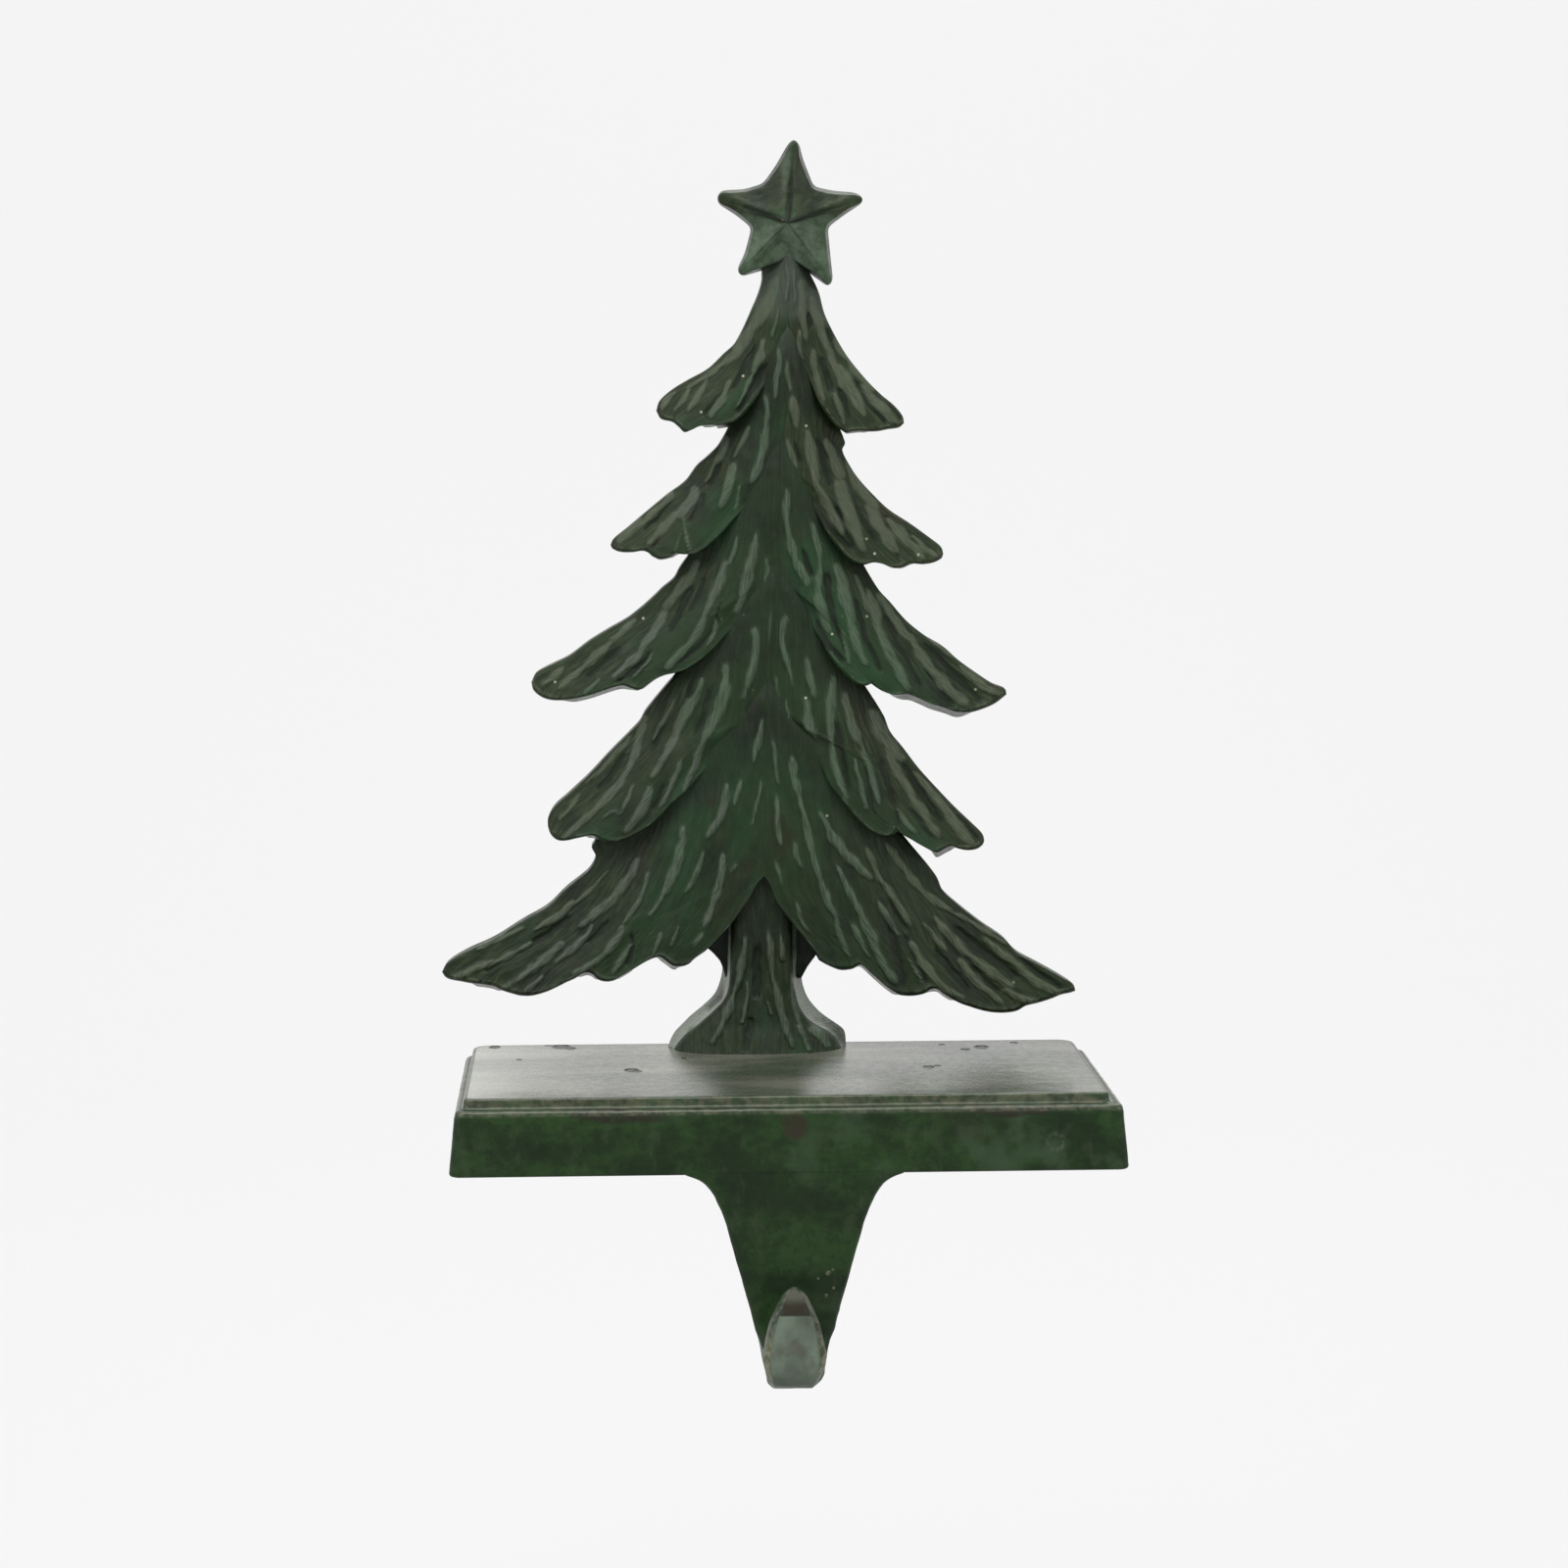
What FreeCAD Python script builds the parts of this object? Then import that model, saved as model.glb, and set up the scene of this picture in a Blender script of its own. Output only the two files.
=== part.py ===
import FreeCAD, Part
import math
import os

os.makedirs("parts", exist_ok=True)

# Frame: millimetres, +Z up, +X to the right, the front faces -Y
# Origin: on the mantel's top face, under the middle of the base

# Base plinth
base_width = 141.5
base_depth = 65.0
apron_height = 13.8
apron_flare = 1.3
apron_foot_round = 1.3
apron_top_round = 0.9
front_corner_radius = 3.0
rear_corner_radius = 7.0
ledge_width = 1.9
plate_step = 2.2
plate_edge_round = 0.5
wall_thickness = 5.5
roof_thickness = 5.5

# Stocking hook under the front of the base
hook_centre_x = 2.0
hook_thickness = 6.0
hook_setback = 0.2
hook_root_height = 7.0
stem_top_width = 34.5
stem_bottom_width = 14.4
stem_fillet_radius = 8.5
hook_drop = 44.3
hook_gap_width = 9.0
finger_rise = 12.2
finger_tip_width = 5.6
finger_tip_thickness = 2.4
finger_bevel_height = 4.6
finger_chamfer = 1.2
bend_corner_radius = 3.2

# Tree relief
tree_span = 141.5
tree_rise = 171.0
tree_setback = 7.0
trunk_foot_depth = 10.5
bough_edge_height = 9.4
bough_tip_height = 7.0
bough_root_height = 7.3
bough_shoulder_height = 4.8
bough_pillow = 0.8
flute_depth = 0.9
rim_width = 0.05
rim_height = 0.45
side_draft = 0.5
root_lap = 10.0
seam_lap = 0.8

# Star
star_face_height = 8.0
star_peak_height = 11.5

# Fixing screw, its washer and its hole in the trunk
screw_centre_x = -3.5
screw_from_tree_back = 5.3
screw_diameter = 4.0
screw_length = 16.0
screw_head_diameter = 8.0
screw_head_height = 3.0
screw_head_round = 1.2
screw_slot_width = 1.2
screw_slot_depth = 1.4
screw_clearance = 0.5
tapped_hole_extra = 2.0
washer_diameter = 9.5
washer_bore = 4.4
washer_thickness = 1.0

# Places worked out from the sizes above
base_top = apron_height + plate_step
tree_back = base_depth / 2 - tree_setback
apron_front = -base_depth / 2
stem_front = apron_front + hook_setback
stem_back = stem_front + hook_thickness
bend_inner_radius = hook_gap_width / 2
bend_outer_radius = bend_inner_radius + hook_thickness
bend_centre_y = stem_front - bend_inner_radius
bend_centre_z = bend_outer_radius - hook_drop
screw_y = tree_back - screw_from_tree_back
washer_top = base_top - roof_thickness
screw_seat = washer_top - washer_thickness

# Bough outlines as (x, height above the base), drawn for this span and rise
OUTLINE_SPAN = 141.5
OUTLINE_RISE = 171.0

# Each tier: its seam on the middle line down to where the two boughs part, then
# for the left and the right bough the outer edge down to its tip, the lower edge from
# the trunk side to the tip, and the inner edge below the seam; last the needle ridges
TIERS = (
    (((3.4, 182.0), (3.4, 168.0), (3.3, 155.5)),
     (((-1.6, 171.0), (-8.3, 157.3), (-18.8, 149.0), (-26.2, 142.5)),
      ((-15.0, 139.2), (-19.7, 137.4), (-24.0, 139.8)),
      ((-3.0, 145.7), (-11.8, 137.6))),
     (((9.2, 170.0), (16.0, 154.0), (24.5, 145.0), (28.7, 139.6)),
      ((17.5, 137.3), (21.5, 137.8), (26.0, 138.6)),
      ((9.6, 145.0), (15.8, 136.9))), 5),
    (((3.2, 163.0), (2.8, 146.0), (1.5, 131.0)),
     (((-12.0, 135.3), (-19.3, 127.4), (-29.0, 119.6), (-35.8, 113.2)),
      ((-24.5, 110.0), (-28.6, 111.6), (-33.3, 111.6)),
      ((-8.4, 119.2), (-22.6, 110.1))),
     (((15.2, 135.7), (20.5, 125.4), (31.0, 117.2), (37.4, 111.0)),
      ((25.5, 107.2), (28.5, 107.4), (33.5, 108.8)),
      ((11.8, 116.9), (23.8, 107.4))), 7),
    (((1.8, 139.0), (1.6, 121.0), (1.3, 106.5)),
     (((-20.4, 109.0), (-31.6, 98.0), (-44.8, 89.4), (-53.6, 83.0)),
      ((-32.8, 82.2), (-42.7, 79.8), (-50.4, 79.2)),
      ((-13.8, 89.8), (-28.4, 80.2))),
     (((22.6, 104.0), (31.0, 95.0), (42.4, 86.8), (51.6, 80.0)),
      ((29.6, 79.8), (37.6, 76.2), (46.5, 76.4)),
      ((13.2, 87.6), (25.6, 79.2))), 8),
    (((0.8, 113.0), (0.2, 94.0), (-0.6, 78.5)),
     (((-26.6, 79.0), (-35.4, 69.0), (-45.0, 59.3), (-50.4, 51.0)),
      ((-39.5, 49.3), (-43.5, 48.8), (-47.9, 48.0)),
      ((-19.0, 58.8), (-35.8, 47.4))),
     (((23.4, 78.0), (30.0, 66.8), (38.4, 57.0), (46.9, 47.4)),
      ((30.0, 49.8), (36.0, 44.9), (41.0, 45.6)),
      ((14.6, 57.0), (27.2, 49.4))), 9),
    (((-1.0, 86.0), (-1.6, 60.0), (-2.0, 39.0)),
     (((-38.8, 50.0), (-49.0, 35.2), (-61.5, 27.3), (-73.6, 19.5)),
      ((-23.4, 20.8), (-33.0, 17.2), (-41.6, 18.2), (-54.7, 13.8), (-66.5, 16.6)),
      ((-8.9, 31.6), (-18.8, 19.8))),
     (((35.8, 44.0), (43.6, 31.6), (56.0, 21.8), (67.9, 13.6)),
      ((20.6, 19.4), (29.0, 13.0), (37.0, 13.9), (50.0, 8.8), (60.0, 10.8)),
      ((4.6, 27.4), (14.6, 18.8))), 11),
)

# Trunk sides, from behind the lowest boughs down to the foot
TRUNK_LEFT = ((-11.0, 43.0), (-11.8, 20.0), (-13.6, 12.2), (-20.8, 6.4), (-23.2, 0.0))
TRUNK_RIGHT = ((9.0, 43.0), (7.4, 19.6), (7.6, 11.6), (13.6, 7.0), (16.4, 0.0))
TRUNK_RIDGES = 5

# Star outline with two points at each blunt tip, and its middle
STAR_OUTLINE = (
    (3.9, 200.2), (5.2, 200.0), (8.6, 190.6), (18.6, 189.5), (19.8, 187.7), (11.9, 181.2),
    (13.2, 170.6), (11.6, 169.2), (3.4, 175.3), (-6.8, 171.6), (-8.2, 173.4), (-4.8, 181.6),
    (-12.2, 187.4), (-11.5, 189.6), (-1.9, 190.7))
STAR_CENTRE = (3.3, 182.9)


def point(x, y, z):
    return FreeCAD.Vector(x, y, z)


def closed_face(corners):
    return Part.Face(Part.makePolygon(list(corners) + [corners[0]]))


def plinth_outline(width, depth, front_radius, rear_radius, z):
    """Rectangle with rounded plan corners, centred on the base."""
    x = width / 2
    y = depth / 2
    lean = math.sqrt(0.5)

    def corner(sx, sy, radius):
        centre = point(sx * (x - radius), sy * (y - radius), z)
        along = centre + point(sx * radius, 0, 0)
        middle = centre + point(sx * radius * lean, sy * radius * lean, 0)
        across = centre + point(0, sy * radius, 0)
        return along, middle, across

    fr_side, fr_mid, fr_front = corner(1, -1, front_radius)
    rr_side, rr_mid, rr_back = corner(1, 1, rear_radius)
    rl_side, rl_mid, rl_back = corner(-1, 1, rear_radius)
    fl_side, fl_mid, fl_front = corner(-1, -1, front_radius)
    return Part.Wire([
        Part.makeLine(fl_front, fr_front),
        Part.Arc(fr_front, fr_mid, fr_side).toShape(),
        Part.makeLine(fr_side, rr_side),
        Part.Arc(rr_side, rr_mid, rr_back).toShape(),
        Part.makeLine(rr_back, rl_back),
        Part.Arc(rl_back, rl_mid, rl_side).toShape(),
        Part.makeLine(rl_side, fl_side),
        Part.Arc(fl_side, fl_mid, fl_front).toShape(),
    ])


def level_edges(shape, z):
    """Edges that lie flat at one height."""
    found = []
    for edge in shape.Edges:
        box = edge.BoundBox
        if abs(box.ZMin - z) < 1e-4 and abs(box.ZMax - z) < 1e-4:
            found.append(edge)
    return found


def plinth():
    """Flared apron with a stepped plate on top and a recess underneath."""
    top_width = base_width - 2 * apron_flare
    top_depth = base_depth - 2 * apron_flare
    foot = plinth_outline(base_width, base_depth, front_corner_radius, rear_corner_radius, 0)
    brow = plinth_outline(top_width, top_depth, front_corner_radius, rear_corner_radius, apron_height)
    apron = Part.makeLoft([foot, brow], True, True)
    apron = apron.makeFillet(apron_foot_round, level_edges(apron, 0))
    apron = apron.makeFillet(apron_top_round, level_edges(apron, apron_height))

    plate_bottom = apron_height - roof_thickness / 2
    plate_wire = plinth_outline(top_width - 2 * ledge_width, top_depth - 2 * ledge_width,
                                front_corner_radius, rear_corner_radius, plate_bottom)
    plate = Part.Face(plate_wire).extrude(point(0, 0, base_top - plate_bottom))
    plate = plate.makeFillet(plate_edge_round, level_edges(plate, base_top))

    recess_wire = plinth_outline(base_width - 2 * wall_thickness, base_depth - 2 * wall_thickness,
                                 front_corner_radius, rear_corner_radius, 0)
    recess = Part.Face(recess_wire).extrude(point(0, 0, base_top - roof_thickness))
    return apron.fuse(plate).cut(recess)


def hook_side_profile():
    """J shape in the YZ plane: stem, bend and finger with a bevelled tip."""
    bend_low = bend_centre_z
    tip_z = bend_low + finger_rise
    finger_back = bend_centre_y - bend_inner_radius
    finger_front = bend_centre_y - bend_outer_radius
    lean = math.sqrt(0.5)
    outer_middle = point(0, bend_centre_y, bend_centre_z - bend_outer_radius)
    inner_middle = point(0, bend_centre_y, bend_centre_z - bend_inner_radius)
    corners = [
        point(0, stem_back, hook_root_height),
        point(0, stem_back, bend_low),
        point(0, finger_front, bend_low),
        point(0, finger_front, tip_z - finger_bevel_height),
        point(0, finger_back - finger_tip_thickness, tip_z),
        point(0, finger_back, tip_z),
        point(0, finger_back, bend_low),
        point(0, stem_front, bend_low),
        point(0, stem_front, hook_root_height),
    ]
    return Part.Face(Part.Wire([
        Part.makeLine(corners[0], corners[1]),
        Part.Arc(corners[1], outer_middle, corners[2]).toShape(),
        Part.makeLine(corners[2], corners[3]),
        Part.makeLine(corners[3], corners[4]),
        Part.makeLine(corners[4], corners[5]),
        Part.makeLine(corners[5], corners[6]),
        Part.Arc(corners[6], inner_middle, corners[7]).toShape(),
        Part.makeLine(corners[7], corners[8]),
        Part.makeLine(corners[8], corners[0]),
    ]))


def stem_half_width(z):
    taper = (stem_top_width - stem_bottom_width) / 2 / (hook_drop - bend_corner_radius)
    return stem_top_width / 2 + taper * z


def mirrored_front_outline(half, y):
    """Closed XZ outline from (half width, z) points of one side, top to bottom."""
    right = [point(hook_centre_x + w, y, z) for w, z in half]
    left = [point(hook_centre_x - w, y, z) for w, z in reversed(half)]
    return closed_face(right + left)


def bend_corner(width):
    """Points round the lower corner of the bend, seen from the front."""
    centre_w = width - bend_corner_radius
    centre_z = bend_corner_radius - hook_drop
    turns = [math.radians(a) for a in (0, 22.5, 45, 67.5, 90)]
    return [(centre_w + bend_corner_radius * math.cos(a),
             centre_z - bend_corner_radius * math.sin(a)) for a in turns]


def stem_front_outline(y):
    """Tapering stem that widens in a round fillet into the base."""
    side = math.atan2((stem_top_width - stem_bottom_width) / 2, hook_drop)
    fillet = []
    for step in range(6):
        angle = (math.pi / 2 - side) * step / 5
        w = stem_half_width(0) + stem_fillet_radius * (1 - math.sin(angle))
        z = -stem_fillet_radius * (1 - math.cos(angle))
        fillet.append((w, z))
    root = [(fillet[0][0], hook_root_height)]
    return mirrored_front_outline(root + fillet + bend_corner(stem_bottom_width / 2), y)


def finger_front_outline(y):
    """Blunt narrow tip that widens down to the bend."""
    tip_z = bend_centre_z + finger_rise
    tip = finger_tip_width / 2
    crown = [(tip * 0.55, tip_z), (tip, tip_z - tip * 0.6)]
    shoulder = [(stem_bottom_width / 2 * 0.75, tip_z - finger_rise * 0.5)]
    return mirrored_front_outline(crown + shoulder + bend_corner(stem_bottom_width / 2), y)


def hook():
    """Stem and finger: the side profile trimmed to its outline from the front."""
    reach = stem_top_width + 2 * stem_fillet_radius + 10
    slab = hook_side_profile()
    slab.translate(point(hook_centre_x - reach / 2, 0, 0))
    slab = slab.extrude(point(reach, 0, 0))
    stem_trim = stem_front_outline(bend_centre_y).extrude(point(0, stem_back - bend_centre_y + 1, 0))
    finger_reach = bend_outer_radius + 1
    finger_trim = finger_front_outline(bend_centre_y).extrude(point(0, -finger_reach, 0))
    stem = slab.common(stem_trim)
    finger = slab.common(finger_trim)
    front = bend_centre_y - bend_outer_radius
    rails = []
    for edge in finger.Edges:
        box = edge.BoundBox
        upright = box.ZLength > 0.5 and box.ZMin > bend_centre_z - 0.1
        if box.YMax < front + 0.01 and upright:
            rails.append(edge)
    if rails:
        finger = finger.makeChamfer(finger_chamfer, rails)
    return stem.fuse(finger)


def base_with_hook():
    body = plinth().fuse(hook())
    hole_radius = (screw_diameter + screw_clearance) / 2
    hole = Part.makeCylinder(hole_radius, base_top, point(screw_centre_x, screw_y, 0))
    return body.cut(hole).removeSplitter()


def curve_point(points, t):
    """Point at share t along a smooth line through the given points."""
    lengths = [0.0]
    for a, b in zip(points, points[1:]):
        lengths.append(lengths[-1] + math.hypot(b[0] - a[0], b[1] - a[1]))
    wanted = t * lengths[-1]
    i = 0
    while i < len(points) - 2 and lengths[i + 1] < wanted:
        i += 1
    s = (wanted - lengths[i]) / (lengths[i + 1] - lengths[i])
    before = points[max(i - 1, 0)]
    a = points[i]
    b = points[i + 1]
    after = points[min(i + 2, len(points) - 1)]
    place = []
    for k in (0, 1):
        pull_a = (b[k] - before[k]) / 2
        pull_b = (after[k] - a[k]) / 2
        blend_a = (1 + 2 * s) * (1 - s) ** 2
        blend_b = s * s * (3 - 2 * s)
        place.append(blend_a * a[k] + blend_b * b[k]
                     + s * (1 - s) ** 2 * pull_a - s * s * (1 - s) * pull_b)
    return place


def tree_place(x, rise, height):
    """A spot on the relief: across, above the base, out from the flat back."""
    return point(x * tree_span / OUTLINE_SPAN, tree_back - height,
                 base_top + rise * tree_rise / OUTLINE_RISE)


def relief_solid(front, outward, draft):
    """Solid from a grid of front points down to the flat back, with drafted sides."""
    rows = len(front)
    columns = len(front[0])
    faces = []
    for i in range(rows - 1):
        for j in range(columns - 1):
            a, b = front[i][j], front[i][j + 1]
            c, d = front[i + 1][j], front[i + 1][j + 1]
            if j % 2:
                faces.append(closed_face([a, b, d]))
                faces.append(closed_face([a, d, c]))
            else:
                faces.append(closed_face([a, b, c]))
                faces.append(closed_face([b, d, c]))
    rim = [front[0][j] for j in range(columns)]
    rim += [front[i][-1] for i in range(1, rows)]
    rim += [front[-1][j] for j in range(columns - 2, -1, -1)]
    rim += [front[i][0] for i in range(rows - 2, 0, -1)]
    foot = []
    for i, spot in enumerate(rim):
        before = rim[i - 1]
        after = rim[(i + 1) % len(rim)]
        run_x = after.x - before.x
        run_z = after.z - before.z
        run = math.hypot(run_x, run_z)
        spread = draft * (0.0 if abs(spot.z - base_top) < 0.001 else 1.0)
        foot.append(point(spot.x + outward * spread * run_z / run, tree_back,
                          spot.z - outward * spread * run_x / run))
    for i in range(len(rim)):
        k = (i + 1) % len(rim)
        faces.append(closed_face([rim[i], rim[k], foot[k]]))
        faces.append(closed_face([rim[i], foot[k], foot[i]]))
    faces.append(closed_face(foot))
    solid = Part.Solid(Part.Shell(faces))
    if solid.Volume < 0:
        solid.reverse()
    return solid


def bough(seam, outer, lower, inner, ridges):
    """One fluted bough that rises like a shingle to its lower edge, with a thin rim there."""
    tip = outer[-1]
    side = 1 if tip[0] > inner[-1][0] else -1
    hem = (inner[-1],) + tuple(lower) + (tip,)
    inner = tuple((x - side * seam_lap, rise) for x, rise in seam) + tuple(inner)
    run_x = seam[0][0] - outer[0][0]
    run_z = seam[0][1] - outer[0][1]
    tuck = root_lap / math.hypot(run_x, run_z)
    top_outer = (outer[0][0] + run_x * tuck, outer[0][1] + run_z * tuck)
    outer = (top_outer,) + tuple(outer)
    root = (inner[0], top_outer)
    columns = 2 * round(ridges) + 1
    stations = (0.0, 0.2, 0.4, 0.6, 0.8, 1.0 - rim_width, 1.0)
    front = []
    for u in stations:
        row = []
        for j in range(columns):
            v = j / (columns - 1)
            left = curve_point(inner, u)
            right = curve_point(outer, u)
            up = curve_point(root, v)
            down = curve_point(hem, v)
            place = []
            for k in (0, 1):
                mix = (1 - v) * left[k] + v * right[k] + (1 - u) * up[k] + u * down[k]
                mix -= (1 - u) * ((1 - v) * root[0][k] + v * root[1][k])
                mix -= u * ((1 - v) * hem[0][k] + v * hem[-1][k])
                place.append(mix)
            high = bough_root_height + (bough_shoulder_height - bough_root_height) * v
            low = bough_edge_height + (bough_tip_height - bough_edge_height) * v
            height = high + (low - high) * u ** 1.3
            height += bough_pillow * math.sin(math.pi * v) * (0.4 + 0.6 * u)
            if 0 < j < columns - 1:
                height += (0.5 if j % 2 else -0.5) * flute_depth * (0.3 + 0.7 * u)
            if u == 1.0 or j == 0:
                height += rim_height * u
            row.append(tree_place(place[0], place[1], height))
        front.append(row)
    return relief_solid(front, -side, side_draft)


def trunk():
    """Fluted trunk that spreads into roots on the base."""
    columns = 2 * TRUNK_RIDGES + 1
    stations = (0.0, 0.35, 0.6, 0.75, 0.88, 1.0)
    front = []
    for u in stations:
        row = []
        left = curve_point(TRUNK_LEFT, u)
        right = curve_point(TRUNK_RIGHT, u)
        for j in range(columns):
            v = j / (columns - 1)
            x = left[0] + (right[0] - left[0]) * v
            rise = left[1] + (right[1] - left[1]) * v
            crown = math.sqrt(math.sin(math.pi * v)) if 0 < j < columns - 1 else 0.0
            middle = bough_root_height - 0.4 + (trunk_foot_depth - bough_root_height + 0.4) * u ** 3
            edge = middle * 0.55
            height = edge + (middle - edge) * crown
            if 0 < j < columns - 1 and u < 1.0:
                height += (0.5 if j % 2 else -0.5) * flute_depth * (1 - u ** 4)
            row.append(tree_place(x, rise if u < 1.0 else 0.0, height))
        front.append(row)
    return relief_solid(front, -1, side_draft)


def star():
    """Five-pointed star with creased arms that meet in a raised middle."""
    face_points = [tree_place(x, rise, star_face_height) for x, rise in STAR_OUTLINE]
    back_points = [point(spot.x, tree_back, spot.z) for spot in face_points]
    peak = tree_place(STAR_CENTRE[0], STAR_CENTRE[1], star_peak_height)
    faces = [closed_face(back_points)]
    for i, spot in enumerate(face_points):
        k = (i + 1) % len(face_points)
        faces.append(closed_face([spot, face_points[k], peak]))
        faces.append(closed_face([spot, face_points[k], back_points[k], back_points[i]]))
    solid = Part.Solid(Part.Shell(faces))
    if solid.Volume < 0:
        solid.reverse()
    return solid


def tree():
    pieces = [star()]
    for seam, left, right, ridges in TIERS:
        pieces.append(bough(seam, *left, ridges))
        pieces.append(bough(seam, *right, ridges))
    body = trunk().multiFuse(pieces)
    depth = screw_seat + screw_length - base_top + tapped_hole_extra
    hole = Part.makeCylinder(screw_diameter / 2, depth, point(screw_centre_x, screw_y, base_top))
    return body.cut(hole).removeSplitter()


def fixing_screw():
    """Pan-head machine screw, head down in the recess."""
    shank = Part.makeCylinder(screw_diameter / 2, screw_length, point(screw_centre_x, screw_y, screw_seat))
    head_low = screw_seat - screw_head_height
    head = Part.makeCylinder(screw_head_diameter / 2, screw_head_height,
                             point(screw_centre_x, screw_y, head_low))
    head = head.makeFillet(screw_head_round, level_edges(head, head_low))
    slot = Part.makeBox(screw_head_diameter, screw_slot_width, screw_slot_depth,
                        point(screw_centre_x - screw_head_diameter / 2,
                              screw_y - screw_slot_width / 2, head_low))
    return head.fuse(shank).cut(slot)


def washer():
    middle = point(screw_centre_x, screw_y, screw_seat)
    disc = Part.makeCylinder(washer_diameter / 2, washer_thickness, middle)
    return disc.cut(Part.makeCylinder(washer_bore / 2, washer_thickness, middle))


NODES = {
    "base_with_hook": base_with_hook,
    "tree": tree,
    "fixing_screw": fixing_screw,
    "washer": washer,
}

for name, make in NODES.items():
    shape = make()
    if len(shape.Solids) == 1:
        shape = shape.Solids[0]
    print(name, "solids", len(shape.Solids), "valid", shape.isValid(),
          "volume", round(shape.Volume), "faces", len(shape.Faces))
    shape.exportStep("parts/" + name + ".step")
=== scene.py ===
import math

import bpy
import numpy as np
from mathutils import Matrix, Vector


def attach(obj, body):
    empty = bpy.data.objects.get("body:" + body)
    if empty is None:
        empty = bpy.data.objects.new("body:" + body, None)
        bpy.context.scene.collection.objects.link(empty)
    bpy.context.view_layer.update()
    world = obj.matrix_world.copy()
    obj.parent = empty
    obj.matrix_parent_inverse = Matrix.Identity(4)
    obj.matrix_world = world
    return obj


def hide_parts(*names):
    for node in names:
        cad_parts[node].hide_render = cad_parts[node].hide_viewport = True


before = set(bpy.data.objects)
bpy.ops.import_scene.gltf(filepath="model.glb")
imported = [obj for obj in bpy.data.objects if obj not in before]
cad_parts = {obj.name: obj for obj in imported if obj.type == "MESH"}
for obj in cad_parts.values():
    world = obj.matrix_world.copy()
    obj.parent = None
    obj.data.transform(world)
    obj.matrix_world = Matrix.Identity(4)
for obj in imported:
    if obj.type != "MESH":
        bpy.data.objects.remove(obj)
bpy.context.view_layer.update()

# Sizes in millimetres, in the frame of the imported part; a millimetre is this many metres
MM = 0.001
BASE_WIDTH = 143.0
BASE_DEPTH = 65.0
APRON_HEIGHT = 13.8
APRON_FLARE = 1.35
APRON_SHIFT = 1.25
PLATE_SHIFT = 0.8
LEDGE_WIDTH = 2.2
BASE_TOP = 16.0
WALL = 5.5
RECESS_TOP = 10.5
FRONT_CORNER = 2.0
REAR_CORNER = 5.5
TREE_BACK = 25.5
TREE_FRONT = 16.0

STEM_FRONT = -32.3
STEM_THICKNESS = 6.0
HOOK_X = 2.1
HOOK_DROP = 44.3
BEND_INNER = 4.5
FINGER_RISE = 12.2

# Relief of the tree: heights above the flat back, and what is added or taken away
HEM_HEIGHT = 9.4
TIP_DROP = 2.4
SEAM_HEIGHT = 8.4
SHOULDER_DROP = 4.2
SEAM_DIP = 0.9
SEAM_LAP = 0.15
SINK_DEPTH = 1.25
SINK_REACH = 9.0
PILLOW = 0.8
STROKE_HEIGHT = 0.5
GROOVE_DEPTH = 0.55
WAVE_HEIGHT = 0.16
GRAIN_HEIGHT = 0.07
BEAD_HEIGHT = 0.30
BEAD_INSET = 0.8
BEAD_WIDTH = 0.45
EDGE_ROUND = 0.7
TRUNK_HEIGHT = 7.0
TRUNK_FLARE = 3.4
TRUNK_LIMIT = 10.9
TRUNK_STROKE_HEIGHT = 0.8
TRUNK_GROOVE_DEPTH = 0.7
WEB_HEIGHT = 3.2

# How far each form's back lies in front of the tree's flat back, so that none share a plane
BOUGH_BACK = 0.03
TRUNK_BACK = 0.21
WEB_BACK = 0.24

# Distance between the points of a bough's mesh
STEP_ALONG = 0.55
STEP_ACROSS = 0.52

# Roundings of the base, and the chamfer of its hook
PLATE_ROUND = 0.5
LEDGE_ROUND = 0.9
FOOT_ROUND = 0.7
CHAMFER = 0.7

# Camera, from the photograph's vanishing points
CAMERA_PLACE = (-37.1, -714.0, 163.6)
CAMERA_YAW = 3.093
CAMERA_PITCH = 6.793
CAMERA_LENS = 76.5

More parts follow.
